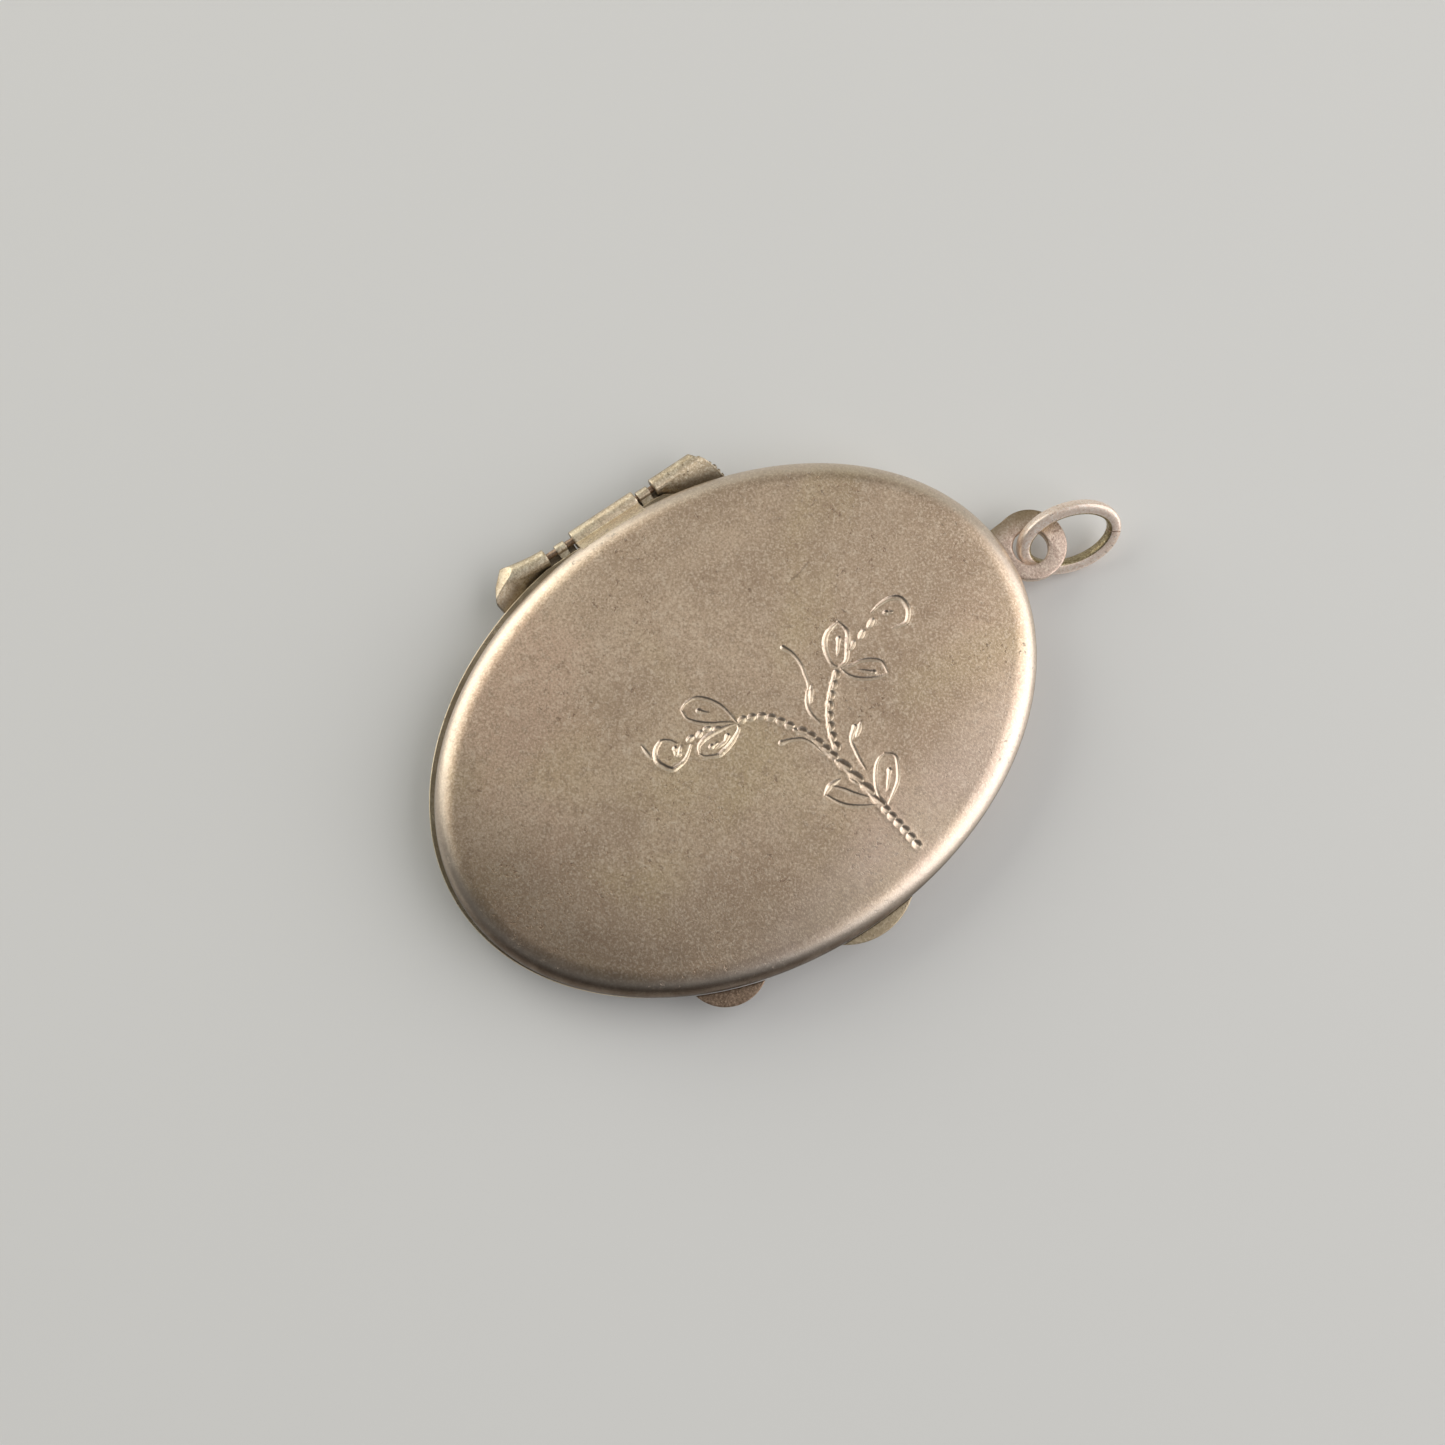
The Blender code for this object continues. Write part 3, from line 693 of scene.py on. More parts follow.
# ---- node materials
class Recipe:
    """A node material under construction. A socket given as an input is linked, a value is set."""

    def __init__(self, name):
        self.material = bpy.data.materials.new(name)
        self.material.use_nodes = True
        self.tree = self.material.node_tree
        self.shader = self.tree.nodes["Principled BSDF"]
        self.place = self.add("ShaderNodeTexCoord").outputs["Object"]

    def add(self, kind, inputs=None, **settings):
        node = self.tree.nodes.new(kind)
        for key, value in settings.items():
            setattr(node, key, value)
        for key, value in (inputs or {}).items():
            self.put(node, key, value)
        return node

    def put(self, node, key, value):
        socket = node.inputs[key]
        if isinstance(value, bpy.types.NodeSocket):
            self.tree.links.new(value, socket)
        else:
            socket.default_value = value

    def noise(self, scale, detail, roughness, distortion=0.0, place=None):
        """Soft noise with so many swells to the metre."""
        inputs = {"Vector": place or self.place, "Scale": scale, "Detail": detail}
        inputs |= {"Roughness": roughness, "Distortion": distortion}
        return self.add("ShaderNodeTexNoise", inputs).outputs["Fac"]

    def ramp(self, value, low, high, to_low=0.0, to_high=1.0):
        inputs = {"Value": value, "From Min": low, "From Max": high, "To Min": to_low, "To Max": to_high}
        return self.add("ShaderNodeMapRange", inputs, interpolation_type="SMOOTHSTEP").outputs[0]

    def math(self, operation, a, b=0.0):
        return self.add("ShaderNodeMath", {0: a, 1: b}, operation=operation).outputs[0]

    def sum(self, total, *terms):
        """A value plus others, each times its factor."""
        for value, factor in terms:
            total = self.math("ADD", total, self.math("MULTIPLY", value, factor))
        return total

    def mix(self, share, a, b):
        node = self.tree.nodes.new("ShaderNodeMix")
        node.data_type = "RGBA"
        self.put(node, 0, share)
        for key, value in ((6, a), (7, b)):
            self.put(node, key, value if isinstance(value, bpy.types.NodeSocket) else (*value, 1.0))
        return node.outputs[2]

    def bump(self, height, strength, distance):
        inputs = {"Height": height, "Strength": strength, "Distance": distance}
        return self.add("ShaderNodeBump", inputs).outputs[0]

    def stretched(self, scale, rotation):
        inputs = {"Vector": self.place, "Scale": scale, "Rotation": rotation}
        return self.add("ShaderNodeMapping", inputs).outputs[0]

    def along(self, vector, direction):
        node = self.add("ShaderNodeVectorMath", {0: vector, 1: direction}, operation="DOT_PRODUCT")
        return node.outputs["Value"]

    def finish(self, **inputs):
        for key, value in inputs.items():
            self.put(self.shader, key.replace("_", " "), value)
        return self.material


def facing(direction, start, stop, share, tint="dark", absolute=False):
    """Tints what faces a direction: from start to stop in the cosine of the angle to it."""

    def effect(r, colour, tints):
        cosine = r.along(r.add("ShaderNodeTexCoord").outputs["Normal"], direction)
        if absolute:
            cosine = r.math("ABSOLUTE", cosine)
        amount = r.math("MULTIPLY", r.ramp(cosine, start, stop, 0.0, share), r.unevenness)
        return r.mix(amount, colour, tints[tint])

    return effect


def towards(direction, start, stop, share, tint="dark"):
    """Tints one side of the piece: from start to stop in millimetres along a direction."""

    def effect(r, colour, tints):
        amount = r.ramp(r.along(r.place, direction), start * MM, stop * MM, 0.0, share)
        return r.mix(r.math("MULTIPLY", amount, r.unevenness), colour, tints[tint])

    return effect


def worn(r, colour, tints):
    """Bright rubbed edges and dark corners."""
    bend = r.add("ShaderNodeNewGeometry").outputs["Pointiness"]
    colour = r.mix(r.ramp(bend, 0.52, 0.60, 0.0, 0.7), colour, tints["bright"])
    return r.mix(r.ramp(bend, 0.48, 0.42, 0.0, 0.7), colour, tints["dark"])


def engraving_painted_shading(r, colour, tints):
    """Painted highlight on the broad side of each cut and painted shade on its steep side, by the "cut"
    attribute.
    """
    cut = r.add("ShaderNodeAttribute", attribute_name="cut").outputs["Fac"]
    colour = r.mix(r.ramp(cut, 0.05, 0.60, 0.0, 0.22), colour, tints["bright"])
    return r.mix(r.ramp(cut, -0.10, -0.70, 0.0, 0.52), colour, tints["cut"])


def scaled(colour, factors):
    return tuple(c * k for c, k in zip(colour, factors))


def metal(name, base, tarnish, bright, roughness, *effects, grain=1.0, metallic=1.0, mottle=1.0):
    """Old gilt or silver sheet: sandy grain, brown tarnish in patches, small pits, fine scratches.

    Mottle is how strong the patches are, grain how rough the sand is. The effects come last.
    """
    r = Recipe(name)
    tints = {
        "bright": bright,
        "dark": scaled(tarnish, (0.25, 0.235, 0.22)),
        "olive": scaled(tarnish, (0.55, 0.58, 0.36)),
        # painted shade for the steep side of the cuts
        "cut": scaled(tarnish, (0.62, 0.62, 0.62)),
        "silver": (0.95, 0.86, 0.76),
        "lilac": (0.90, 0.75, 0.68),
    }
    patches = r.noise(95, 5, 0.6, 0.6)
    stains = r.noise(420, 6, 0.68, 0.3)
    blots = r.noise(1300, 4, 0.7, 0.3)
    sand = r.noise(6600, 4, 0.75, 0.3)
    fine = r.noise(12000, 2, 0.6)
    pink_zones = r.noise(60, 3, 0.5, 0.4, r.stretched((1, 1, 1), (0.3, 0.2, 1.1)))
    olive_zones = r.noise(75, 3, 0.5, 0.4, r.stretched((1, 1, 1), (1.3, 0.8, 0.1)))
    specks = r.ramp(r.noise(2600, 3, 0.75), 0.60, 0.66)
    pits = r.math("MULTIPLY", specks, r.ramp(r.noise(210, 4, 0.65), 0.46, 0.60))
    scratch_place = r.stretched((1.0, 16.0, 1.0), (0, 0, radians(35)))
    scratches = r.ramp(r.noise(700, 2, 0.5, 0.2, scratch_place), 0.72, 0.78)
    r.unevenness = r.ramp(stains, 0.25, 0.6, 0.75, 1.0)
    # What is laid over the base: a noise, the values at which it starts and is full, its share and tint.
    layers = (
        (patches, 0.38, 0.66, 0.72 * mottle, tarnish),
        (stains, 0.44, 0.72, 0.55 * mottle, tarnish),
        (pink_zones, 0.48, 0.64, 0.60, scaled(base, (1.05, 0.97, 0.99))),
        (olive_zones, 0.48, 0.64, 0.60, scaled(base, (0.97, 1.0, 0.84))),
        (blots, 0.52, 0.68, 0.60 * mottle, tarnish),
        (blots, 0.46, 0.32, 0.26, bright),
        (sand, 0.51, 0.61, 0.60, bright),
        (sand, 0.48, 0.38, 0.75, tarnish),
    )
    colour = base
    for field, start, full, share, tint in layers:
        colour = r.mix(r.ramp(field, start, full, 0.0, share), colour, tint)
    colour = r.mix(r.math("MULTIPLY", pits, 0.55), colour, tints["dark"])
    for effect in effects:
        colour = effect(r, colour, tints)
    rough = r.sum(roughness, (r.math("SUBTRACT", stains, 0.5), 0.25), (pits, 0.2))
    height = r.sum(sand, (fine, 0.4), (pits, -0.6), (scratches, -0.3))
    normal = r.bump(height, 0.70 * grain, 0.02 * MM)
    return r.finish(Base_Color=colour, Metallic=metallic, Roughness=rough, Normal=normal)


def card_material():
    """Yellowed card with fibres and brown age spots."""
    r = Recipe("picture_card")
    fibres = r.noise(2600, 5, 0.7, 0.0, r.stretched((1.0, 5.0, 1.0), (0, 0, 0.6)))
    foxing = r.ramp(r.noise(520, 2, 0.5), 0.66, 0.76)
    age = r.noise(70, 3, 0.5)
    colour = r.mix(r.ramp(age, 0.3, 0.7), (0.88, 0.82, 0.68), (0.76, 0.67, 0.50))
    colour = r.mix(r.math("MULTIPLY", foxing, 0.6), colour, (0.30, 0.18, 0.08))
    colour = r.mix(r.math("MULTIPLY", fibres, 0.22), colour, (0.95, 0.91, 0.82))
    normal = r.bump(fibres, 0.35, 0.03 * MM)
    return r.finish(Base_Color=colour, Roughness=r.sum(0.78, (fibres, 0.12)), Normal=normal)


def clear_material():
    """Clear sheet, a little hazy and scratched."""
    r = Recipe("clear_sheet")
    haze = r.noise(150, 4, 0.6)
    fine = r.stretched((1.0, 20.0, 1.0), (0, 0, 0.9))
    scratches = r.ramp(r.noise(700, 2, 0.5, 0.3, fine), 0.66, 0.74)
    colour = r.mix(r.ramp(haze, 0.3, 0.75), (1.0, 0.99, 0.95), (0.96, 0.93, 0.84))
    rough = r.sum(0.04, (scratches, 0.25), (haze, 0.08))
    normal = r.bump(r.math("SUBTRACT", 1.0, scratches), 0.15, 0.01 * MM)
    inputs = {"Base_Color": colour, "Roughness": rough, "Normal": normal, "IOR": 1.45}
    return r.finish(Transmission_Weight=1.0, **inputs)


UP = (0, 0, 1)
# Painted shade on the steep walls.
PAINTED_SHADE_WALLS = facing(UP, 0.50, 0.15, 0.85, absolute=True)
# Painted shade on the side facing +X and -Y, away from the lamps.
SHADED = facing((0.72, -0.69, 0.0), 0.32, 0.64, 0.92)
# Lighter silver on the shoulders: partly rubbed gilt, partly a painted highlight.
RUBBED_AND_SHEEN = facing(UP, 0.993, 0.88, 0.48, "silver", absolute=True)
# Painted shade, in olive, on the side facing -X and +Y.
OLIVE_FAR_SHADE = facing((-0.82, 0.57, 0.0), 0.35, 0.90, 0.14, "olive")
# Painted shade, darker towards the -Y end.
BROWN_SHADE_END = towards((0.17, -0.98, 0.0), 11.0, 20.0, 0.40)
# Painted highlight: lighter and pinker towards the +X end.
LILAC_HIGHLIGHT_END = towards((0.97, 0.22, 0.0), 8.5, 12.0, 0.26, "lilac")
# Painted shade, darker low down on the hinge pieces.
SHADE_BELOW = towards((0, 0, -1), -2.80, -2.10, 0.80)
# Painted shade on the leaf's flat faces, which lie in the gap between the covers; its rounded edge stays
# bright.
SHADED_LEAF_FLATS = facing(UP, 0.80, 0.97, 0.90, absolute=True)
# Olive, darker towards the lug's -X side.
OLIVE_ROOT = towards((-1.0, 0.2, 0.0), 4.0, 5.6, 0.8, "olive")

# Each metal: its base, tarnished and bright colours, its roughness, and its effects.
GILT = metal(
    "gilt_front", (0.695, 0.53, 0.385), (0.45, 0.325, 0.23), (0.90, 0.77, 0.62), 0.34,
    LILAC_HIGHLIGHT_END, RUBBED_AND_SHEEN, PAINTED_SHADE_WALLS, OLIVE_FAR_SHADE, SHADED, BROWN_SHADE_END, engraving_painted_shading,
)
GILT_REAR = metal(
    "gilt_rear", (0.64, 0.49, 0.355), (0.44, 0.32, 0.225), (0.88, 0.75, 0.60), 0.35,
    RUBBED_AND_SHEEN, PAINTED_SHADE_WALLS, OLIVE_FAR_SHADE, SHADED,
)
GILT_INSIDE = metal(
    "gilt_inside", (0.78, 0.60, 0.36), (0.50, 0.36, 0.20), (0.90, 0.76, 0.52), 0.30, grain=0.5
)
GILT_HINGE = metal(
    "gilt_hinge", (0.76, 0.64, 0.46), (0.46, 0.36, 0.24), (0.98, 0.90, 0.72), 0.38,
    worn, SHADE_BELOW, mottle=0.8, metallic=0.85,
)
GILT_EDGE = metal(
    "gilt_edge", (0.86, 0.74, 0.54), (0.60, 0.48, 0.32), (0.98, 0.90, 0.72), 0.30, SHADED_LEAF_FLATS, mottle=0.5
)
DARK = metal(
    "dark_metal", (0.36, 0.26, 0.185), (0.19, 0.13, 0.09), (0.62, 0.46, 0.34), 0.46,
    # Lighter on the steep sides: a painted highlight along the rims.
    facing(UP, 0.85, 0.30, 0.6, "bright", absolute=True),
)
TAB = metal("tab_metal", (0.56, 0.455, 0.335), (0.38, 0.29, 0.20), (0.76, 0.66, 0.50), 0.42)
LUG_METAL = metal(
    "lug_metal", (0.65, 0.50, 0.42), (0.43, 0.31, 0.245), (0.92, 0.82, 0.70), 0.38,
    # Lighter on the steep sides: a painted highlight along the rims.
    facing(UP, 0.85, 0.30, 0.5, "bright", absolute=True), OLIVE_ROOT,
)
ROSE = metal(
    "rose_metal", (0.93, 0.77, 0.655), (0.72, 0.55, 0.435), (1.0, 0.94, 0.87), 0.36,
    grain=0.5, metallic=0.6, mottle=0.5,
)
# Painted shade for the ring's inner faces.
RING_SHADE = metal(
    "rose_metal_shade", (0.44, 0.36, 0.21), (0.24, 0.18, 0.10), (0.74, 0.66, 0.44), 0.36, grain=0.5
)
CARD = card_material()
CLEAR = clear_material()


def dress(piece, node, body, slot, *materials):
    """Gives a piece its materials and body, and hides the CAD node that it stands for. The slot is not used.
    """
    for material in materials:
        piece.data.materials.append(material)
    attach(piece, body)
    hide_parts(node)


# ---- covers and leaf
front = cover("front_cover", FRONT_LOW.z, FRONT_HIGH.z, Engraving(), 3.0)
dress(front, "front_cover_shell", "front_cover", "gilt_metal", GILT, GILT_INSIDE)
rear = cover("rear_cover", REAR_HIGH.z, REAR_LOW.z, None, 11.0)
dress(rear, "rear_cover_shell", "rear_cover", "gilt_metal", GILT_REAR, GILT_INSIDE)

LEAF_PROUD = 0.22 * MM
LEAF_SHIFT = Vector((-0.32 * MM, -0.08 * MM))
LEAF_BESIDE_HINGE = HINGE.x + 0.66 * MM
LEAF_RIGHT_END = 4.5 * MM
LEAF_RIGHT_BLEND = 1.2 * MM
LEAF_RIGHT_PROUD = 0.04 * MM


def leaf_proud(angle):
    """How far the leaf stands out of the covers: most on the left, hidden past the hinge's right end."""
    point = oval_point(angle)
    proud = LEAF_PROUD + oval_normal(angle).dot(LEAF_SHIFT)
    if point.x < 0:
        past = min(1.0, max(0.0, (point.y - LEAF_RIGHT_END) / LEAF_RIGHT_BLEND))
        proud = proud * (1 - past) + LEAF_RIGHT_PROUD * past
        proud = min(proud, point.x - LEAF_BESIDE_HINGE)
    return proud


leaf_outline = [oval_point(angle, leaf_proud(angle)) for angle in round_angles(3 * AROUND)]
leaf = slab("leaf_plate_fine", [leaf_outline], LEAF_LOW.z, LEAF_HIGH.z, 0.09 * MM)
dress(leaf, "leaf_plate", "leaf", "gilt_metal", GILT_EDGE)

# The rims and the push-in rings: node, body, slot, width and the rounding of the edges.
OVAL_RINGS = (
    ("leaf_front_rim", "leaf", "gilt_metal", 0.34 * MM, 0.08 * MM),
    ("leaf_rear_rim", "leaf", "gilt_metal", 0.34 * MM, 0.08 * MM),
    ("front_bezel", "front_cover", "rose_metal", 1.40 * MM, 0.10 * MM),
    ("rear_bezel", "rear_cover", "rose_metal", 1.40 * MM, 0.10 * MM),
    ("leaf_front_bezel", "leaf", "rose_metal", 0.95 * MM, 0.10 * MM),
    ("leaf_rear_bezel", "leaf", "rose_metal", 0.95 * MM, 0.10 * MM),
)
for node, body, slot, width, rounding in OVAL_RINGS:
    low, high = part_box(node)
    outer = high.x - HALF_WIDTH
    profile = rounded_box((outer - width, outer), (low.z, high.z), rounding)
    dress(oval_ring(node + "_fine", profile), node, body, slot, GILT_INSIDE)

for node, obj in frame["nodes"].items():
    if node.endswith("_picture") or node.endswith("_glazing"):
        material = CARD if node.endswith("_picture") else CLEAR
        for place in obj.material_slots:
            place.material = material

# ---- hinge
KNUCKLE_RADIUS = 0.60 * MM
BARREL_RADIUS = 0.38 * MM
BORE_RADIUS = 0.26 * MM
PIN_RADIUS = 0.22 * MM
PIN_BORE = 0.3 * PIN_RADIUS
BLIND_DEPTH = 0.9 * MM
WEB_STEPS = 16
REACH_STEPS = 14
FINE_EDGE = 0.03 * MM
# The webs and shelves start a little inside their tubes' ends, and end inside the covers.
WEB_INSET = 0.03 * MM
END_WEB_INSET = 0.04 * MM
SHELF_INSET = 0.10 * MM
IN_WALL = -0.10 * MM
IN_SHOULDER = -0.34 * MM
UNDER_LEAF = LEAF_LOW.z - HINGE.z - 0.06 * MM
FOOT_HEIGHTS = (2.10 * MM, 2.42 * MM)
FOOT_START = -15.36 * MM
FOOT_OUTWARD = 0.3 * MM


def y_range(node):
    low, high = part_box(node)
    return (low.y, high.y)


def straight_end(y):
    return [(-17.0 * MM, y), (-13.0 * MM, y)]


def hinge_piece(node, body, shapes, voxel=0.035 * MM, smoothing=3):
    dress(fuse(node + "_fine", shapes, voxel, smoothing), node, body, "gilt_metal", GILT_HINGE)


LEFT_LOW = -8.60 * MM
LEFT_END = straight_end(-8.80 * MM)
LEFT_SHELF_END = straight_end(-1.91 * MM)
# Planes that cut the left knuckle's end, in millimetres: three round its foot and the bevel on its crown.
LEFT_CUTS = [
    ((-16.30, -7.12, 2.0), (-0.71, -0.70, 0.05)),
    ((-15.40, -7.84, 2.0), (-0.49, -0.87, 0.05)),
    ((-14.55, -8.02, 2.0), (0.15, -0.98, 0.05)),
    ((-15.95, -6.25, 2.85), (-0.39, -0.37, 0.84)),
]
SPLAY = 0.45 * MM
SPLAY_START = -3.95 * MM
SPLAY_RUN = 2.8 * MM
SPLAY_REACH = 1.45 * MM

left_high = y_range("rear_knuckle_left")[1]
left_tube = tube_mesh(KNUCKLE_RADIUS, (LEFT_LOW, left_high), 0.0, "low", sides=72, rows=24)
left_web = bearing(left_high - END_WEB_INSET, LEFT_END, rear_web, IN_WALL)
left_shelf = bearing(left_high - SHELF_INSET, LEFT_SHELF_END, under_barrel, IN_WALL)
left_parts = [trimmed(splayed(shape), LEFT_CUTS) for shape in (left_tube, left_web)]
hinge_piece("rear_knuckle_left", "rear_cover", left_parts + [left_shelf])

RIGHT_HIGH = 7.80 * MM
RIGHT_END = [(-16.25 * MM, 7.38 * MM), (-14.95 * MM, 8.20 * MM), (-13.30 * MM, 8.62 * MM)]
RIGHT_SHELF_END = straight_end(2.98 * MM)
RIGHT_MITRE = 0.42 * MM
RIGHT_BEVEL = 0.20 * MM
# Beads of solder at the right knuckle's foot, in millimetres: centre and radius.
LUMPS = [
    ((-14.98, 8.12, 2.18), 0.16),
    ((-14.66, 8.26, 2.04), 0.20),
    ((-14.32, 8.36, 1.92), 0.17),
    ((-13.98, 8.44, 1.84), 0.15),
]
right_low = y_range("rear_knuckle_right")[0]
right_parts = [
    tube_mesh(KNUCKLE_RADIUS, (right_low, RIGHT_HIGH), BORE_RADIUS, "high", RIGHT_MITRE, RIGHT_BEVEL),
    bearing(right_low + END_WEB_INSET, RIGHT_END, rear_web, IN_WALL),
    bearing(right_low + SHELF_INSET, RIGHT_SHELF_END, under_barrel, IN_WALL),
]
right_parts += [solder_lump(centre, radius, seed) for seed, (centre, radius) in enumerate(LUMPS)]
hinge_piece("rear_knuckle_right", "rear_cover", right_parts)

middle_low, middle_high = y_range("front_knuckle")
middle_end = straight_end(middle_high - WEB_INSET)
middle_parts = [
    tube_mesh(KNUCKLE_RADIUS, (middle_low, middle_high), BORE_RADIUS),
    bearing(middle_low + WEB_INSET, middle_end, front_web, IN_SHOULDER),
]
hinge_piece("front_knuckle", "front_cover", middle_parts, smoothing=5)

for node in ("leaf_barrel_left", "leaf_barrel_right"):
    low_y, high_y = y_range(node)
    foot = barrel_foot((low_y + WEB_INSET, high_y - WEB_INSET))
    tube = tube_mesh(BARREL_RADIUS, (low_y, high_y), BORE_RADIUS, edge=FINE_EDGE)
    hinge_piece(node, "leaf", [tube, foot], voxel=0.025 * MM, smoothing=2)

pin_shape = tube_mesh(PIN_RADIUS, y_range("hinge_pin"), PIN_BORE, sides=40, edge=FINE_EDGE)
pin_mesh = mesh_of("hinge_pin_fine", pin_shape)
pin_mesh.shade_smooth()
dress(linked("hinge_pin_fine", pin_mesh), "hinge_pin", "rear_cover", "dark_metal", DARK)


# ---- thumb tabs
def clipped_disc(centre, radius, outward_angle, gap, steps):
    """The part of a disc outside the oval, which is grown by a gap."""
    half_width = HALF_WIDTH + gap
    half_length = HALF_LENGTH + gap

    def disc_point(angle):
        return centre + Vector((cos(angle), sin(angle))) * radius

    def outside(angle):
        point = disc_point(angle)
        return (point.x / half_width) ** 2 + (point.y / half_length) ** 2 > 1.0

    ends = []
    for side in (-1, 1):
        near, far = outward_angle, outward_angle + side * pi
        for _ in range(50):
            middle = (near + far) / 2
            near, far = (middle, far) if outside(middle) else (near, middle)
        ends.append(near)
    outline = [disc_point(ends[0] + (ends[1] - ends[0]) * i / steps) for i in range(steps + 1)]
    first, last = outline[-1], outline[0]
    start = atan2(first.y / half_length, first.x / half_width)
    stop = atan2(last.y / half_length, last.x / half_width)
    for i in range(1, 12):
        angle = start + (stop - start) * i / 12
        outline.append(Vector((half_width * cos(angle), half_length * sin(angle))))
    return outline


def thumb_tab(node, body, y, reach, radius, gap, slot, material):
    """A round tab that stands out by its reach at y, and starts a gap outside the covers."""
    low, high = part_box(node)
    angle = oval_angle_at(y, 1)
    normal = oval_normal(angle)
    centre = oval_point(angle, reach - radius)
    outline = clipped_disc(centre, radius, atan2(normal.y, normal.x), gap, 48)
    tab = slab(node + "_fine", [outline], low.z, high.z, 0.07 * MM)
    dress(tab, node, body, slot, material)


thumb_tab("front_thumb_tab", "front_cover", 0.10 * MM, 0.77 * MM, 4.28 * MM, TOUCH, "gilt_metal", TAB)
thumb_tab("leaf_thumb_tab", "leaf", -9.50 * MM, 1.06 * MM, 2.63 * MM, 0.05 * MM, "dark_metal", DARK)

# ---- lug and ring
LUG_CENTRE = Vector((0.92 * MM, 21.93 * MM))
LUG_RADIUS = 2.33 * MM
EYE_CENTRE = Vector((1.06 * MM, 21.84 * MM))
EYE_RADIUS = 1.13 * MM
ROUND = np.linspace(0, 2 * pi, 97)[:-1]
eye = [EYE_CENTRE + EYE_RADIUS * Vector((cos(a), sin(a))) for a in ROUND]
lug_disc = clipped_disc(LUG_CENTRE, LUG_RADIUS, pi / 2, TOUCH, 96)
flare_x = LUG_CENTRE.x - LUG_RADIUS + 0.03 * MM


def flared(point):
    """The disc's left side runs straight down to the cover."""
    if point.y < LUG_CENTRE.y and point.x < LUG_CENTRE.x - 0.5 * LUG_RADIUS:
        return Vector((min(point.x, flare_x + 0.06 * (LUG_CENTRE.y - point.y)), point.y))
    return point


lug_outline = [flared(point) for point in lug_disc]
lug = slab("bail_lug_fine", [lug_outline, eye], LUG_LOW.z, LUG_HIGH.z, 0.12 * MM)
dress(lug, "bail_lug", "rear_cover", "rose_metal", LUG_METAL)

RING_LEAN = radians(41.4)
RING_HALF_LENGTH = 2.99 * MM
RING_HALF_WIDTH = 1.95 * MM
RING_BAND = 0.82 * MM
RING_DEPTH = 0.88 * MM
RING_SIDES = 28
RING_STEPS = 180
RING_SQUARENESS = 0.56  # the power of the section's sines: 1 is an ellipse, 0 a rectangle
# Section faces whose cosine is below this are the inside and take the painted shade.
INSIDE_COSINE = -0.45
RING_JOINT_ANGLE = radians(-12)
RING_JOINT_GAP = 0.06 * MM


def jump_ring():
    """An oval band of rounded section, open by a hair at its joint."""
    level = RING_ALONG.cross(Vector((0, 0, 1))).normalized()
    raised = level.cross(RING_ALONG)
    square = raised * cos(RING_LEAN) + level * sin(RING_LEAN)
    across = square.cross(RING_ALONG)
    half_gap = RING_JOINT_GAP / 2 / RING_HALF_WIDTH
    section = []
    for a in round_angles(RING_SIDES):
        c, s = (copysign(abs(v) ** RING_SQUARENESS, v) for v in (cos(a), sin(a)))
        section.append((RING_BAND / 2 * c, RING_DEPTH / 2 * s))
    vertices = []
    for i in range(RING_STEPS + 1):
        angle = RING_JOINT_ANGLE + half_gap + (2 * pi - 2 * half_gap) * i / RING_STEPS
        place = Vector((RING_HALF_LENGTH * cos(angle), RING_HALF_WIDTH * sin(angle)))
        normal = Vector((RING_HALF_WIDTH * cos(angle), RING_HALF_LENGTH * sin(angle))).normalized()
        for outward, rise in section:
            flat = place + normal * outward
            vertices.append(RING_CENTRE + RING_ALONG * flat.x + across * flat.y + square * rise)
    faces = []
    for i in range(RING_STEPS):
        faces += band(i * RING_SIDES, (i + 1) * RING_SIDES, RING_SIDES)
    count = len(faces)
    faces.append(tuple(range(RING_SIDES)))
    faces.append(tuple(range(count, count + RING_SIDES)))
    ring = add_mesh("jump_ring_fine", vertices, faces)
    # The inner faces take the second material, a painted shade.
    for face in ring.data.polygons[:count]:
        a = 2 * pi * (face.index % RING_SIDES + 0.5) / RING_SIDES
        face.material_index = int(cos(a) < INSIDE_COSINE)
    return ring


dress(jump_ring(), "jump_ring", "jump_ring", "rose_metal", ROSE, RING_SHADE)


# ---- studio
pale = Recipe("pale_floor")
soft = pale.math("MULTIPLY", pale.noise(30, 3, 0.5), 0.3)
pale.finish(Base_Color=pale.mix(soft, (0.76, 0.76, 0.75), (0.71, 0.71, 0.70)), Roughness=0.9)
floor_mesh = bpy.data.meshes.new("floor")
floor_mesh.from_pydata([(-2, -2, 0), (2, -2, 0), (2, 2, 0), (-2, 2, 0)], [], [(0, 1, 2, 3)])
floor = linked("floor", floor_mesh)
floor.location.z = -0.01 * MM
floor.data.materials.append(pale.material)

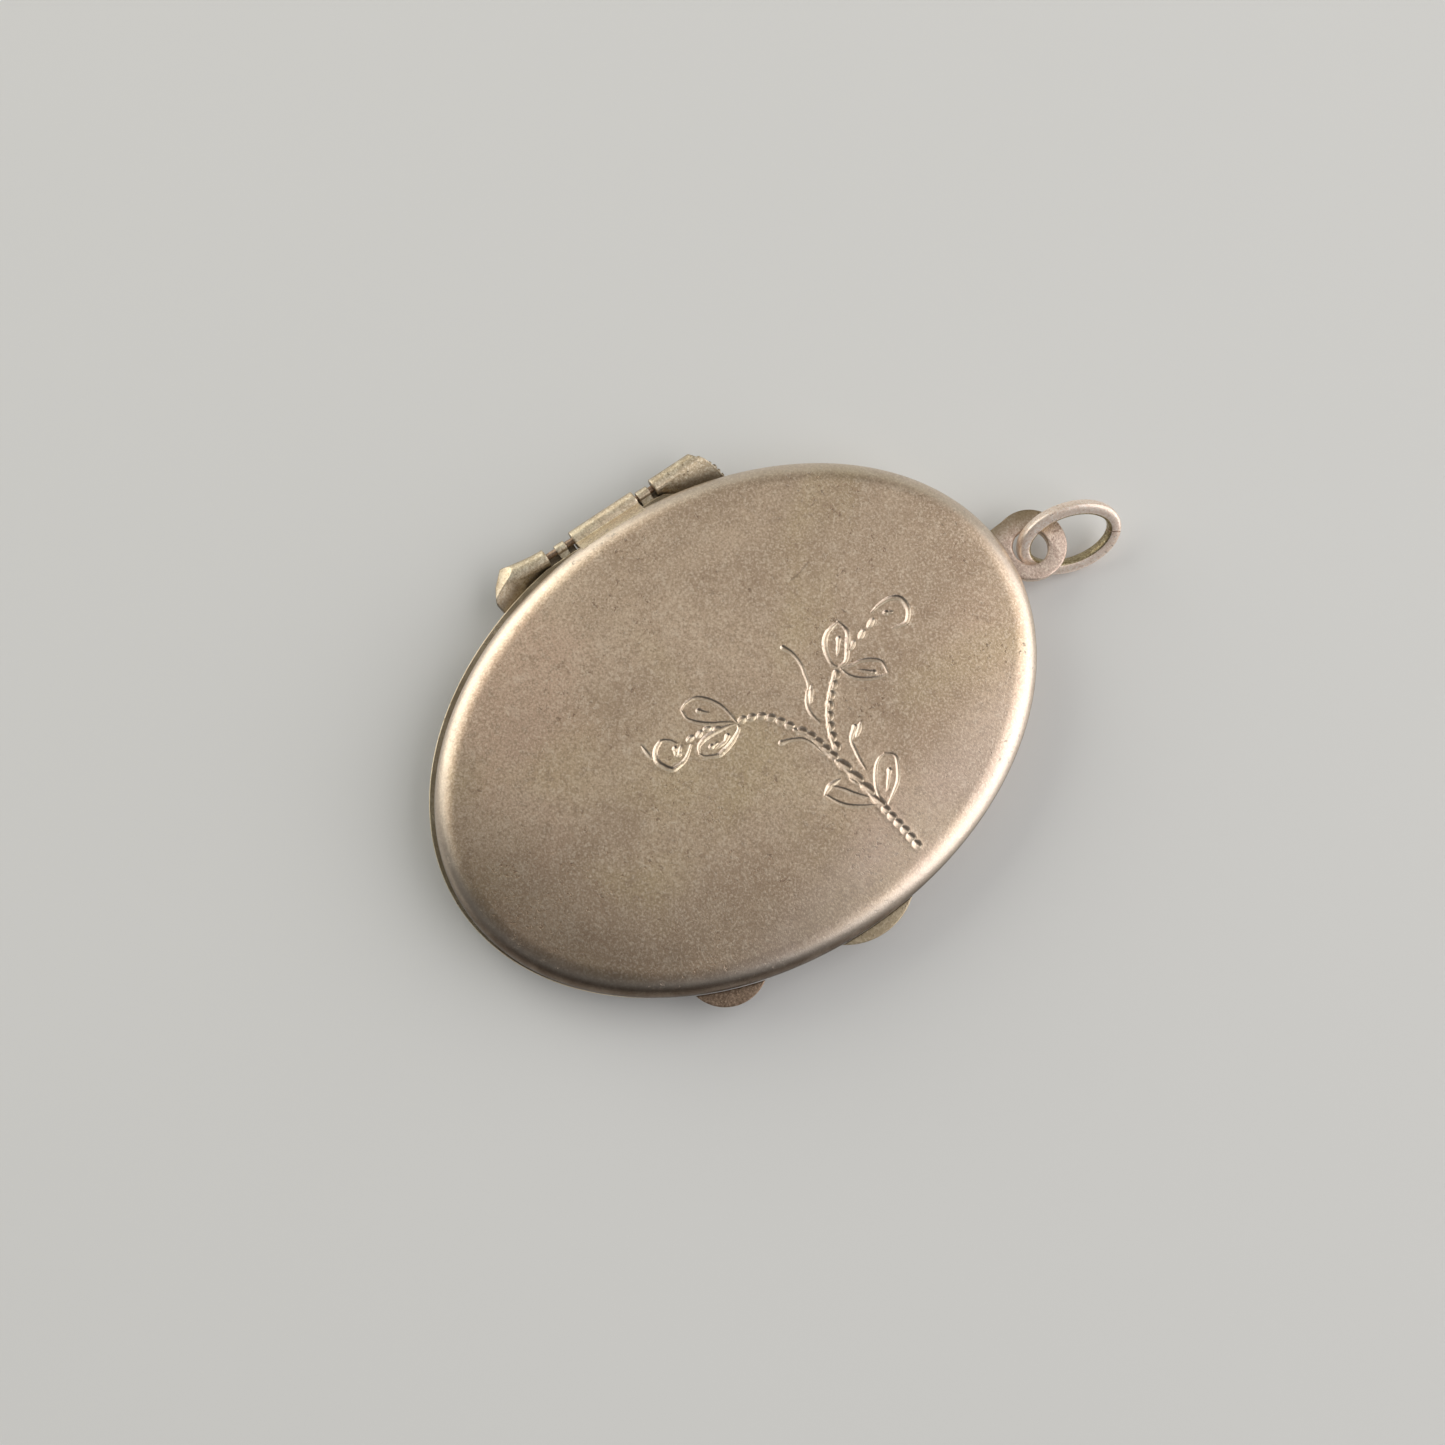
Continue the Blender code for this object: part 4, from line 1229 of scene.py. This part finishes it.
# The camera looks down 10 degrees off the vertical, with the locket's long axis 34.6 degrees off level.
# The lens is given by its focal length in pixels, for a picture of so many pixels to a side.
VIEW_TURN = radians(34.57)
VIEW_TILT = radians(10)
VIEW_DISTANCE = 96.59 * MM
SENSOR = 36.0
FRAME_SIDE = 1445
FOCAL = 1564
right = Vector((sin(VIEW_TURN), cos(VIEW_TURN), 0))
away = Vector((-cos(VIEW_TURN), sin(VIEW_TURN), 0))
view_up = away * cos(VIEW_TILT) + Vector((0, 0, sin(VIEW_TILT)))
view_back = Vector((0, 0, cos(VIEW_TILT))) - away * sin(VIEW_TILT)
camera_data = bpy.data.cameras.new("camera")
camera_data.sensor_width = SENSOR
camera_data.lens = SENSOR * FOCAL / FRAME_SIDE
camera_data.clip_start = 0.001
camera_data.clip_end = 10
camera = linked("camera", camera_data)
look_at = right * -0.951 * MM + away * 0.126 * MM + Vector((0, 0, FRONT_LOW.z))
turned = Matrix((right, view_up, view_back)).transposed().to_4x4()
camera.matrix_world = Matrix.Translation(look_at + view_back * VIEW_DISTANCE) @ turned
bpy.context.scene.camera = camera
LIGHT_DISTANCE = 0.6


def softbox(name, azimuth, elevation, size, power, colour):
    """An area light. Azimuth is in the camera's own sense: 0 is image right and 90 is image top."""
    turn = radians(azimuth)
    level = right * cos(turn) + away * sin(turn)
    lift = radians(elevation)
    direction = level * cos(lift) + Vector((0, 0, sin(lift)))
    data = bpy.data.lights.new(name, "AREA")
    data.shape = "RECTANGLE"
    data.size, data.size_y = size
    data.energy = power
    data.color = colour
    light = linked(name, data)
    light.location = direction * LIGHT_DISTANCE
    light.rotation_euler = direction.to_track_quat("Z", "Y").to_euler()


softbox("left_window", 147, 24, (0.60, 0.62), 2.3, (1.0, 0.985, 0.90))
softbox("right_window", -2, 30, (0.88, 0.78), 4.0, (1.0, 0.975, 0.965))
softbox("far_wall", 80, 20, (0.80, 0.40), 0.34, (1.0, 0.95, 0.76))
softbox("ceiling", 75, 74, (0.50, 0.40), 0.30, (1.0, 0.98, 0.92))

world = bpy.data.worlds.new("studio")
world.use_nodes = True
backdrop = world.node_tree.nodes["Background"]
backdrop.inputs["Color"].default_value = (0.80, 0.82, 0.84, 1)
backdrop.inputs["Strength"].default_value = 0.18
bpy.context.scene.world = world
bpy.context.scene.view_settings.view_transform = "Standard"
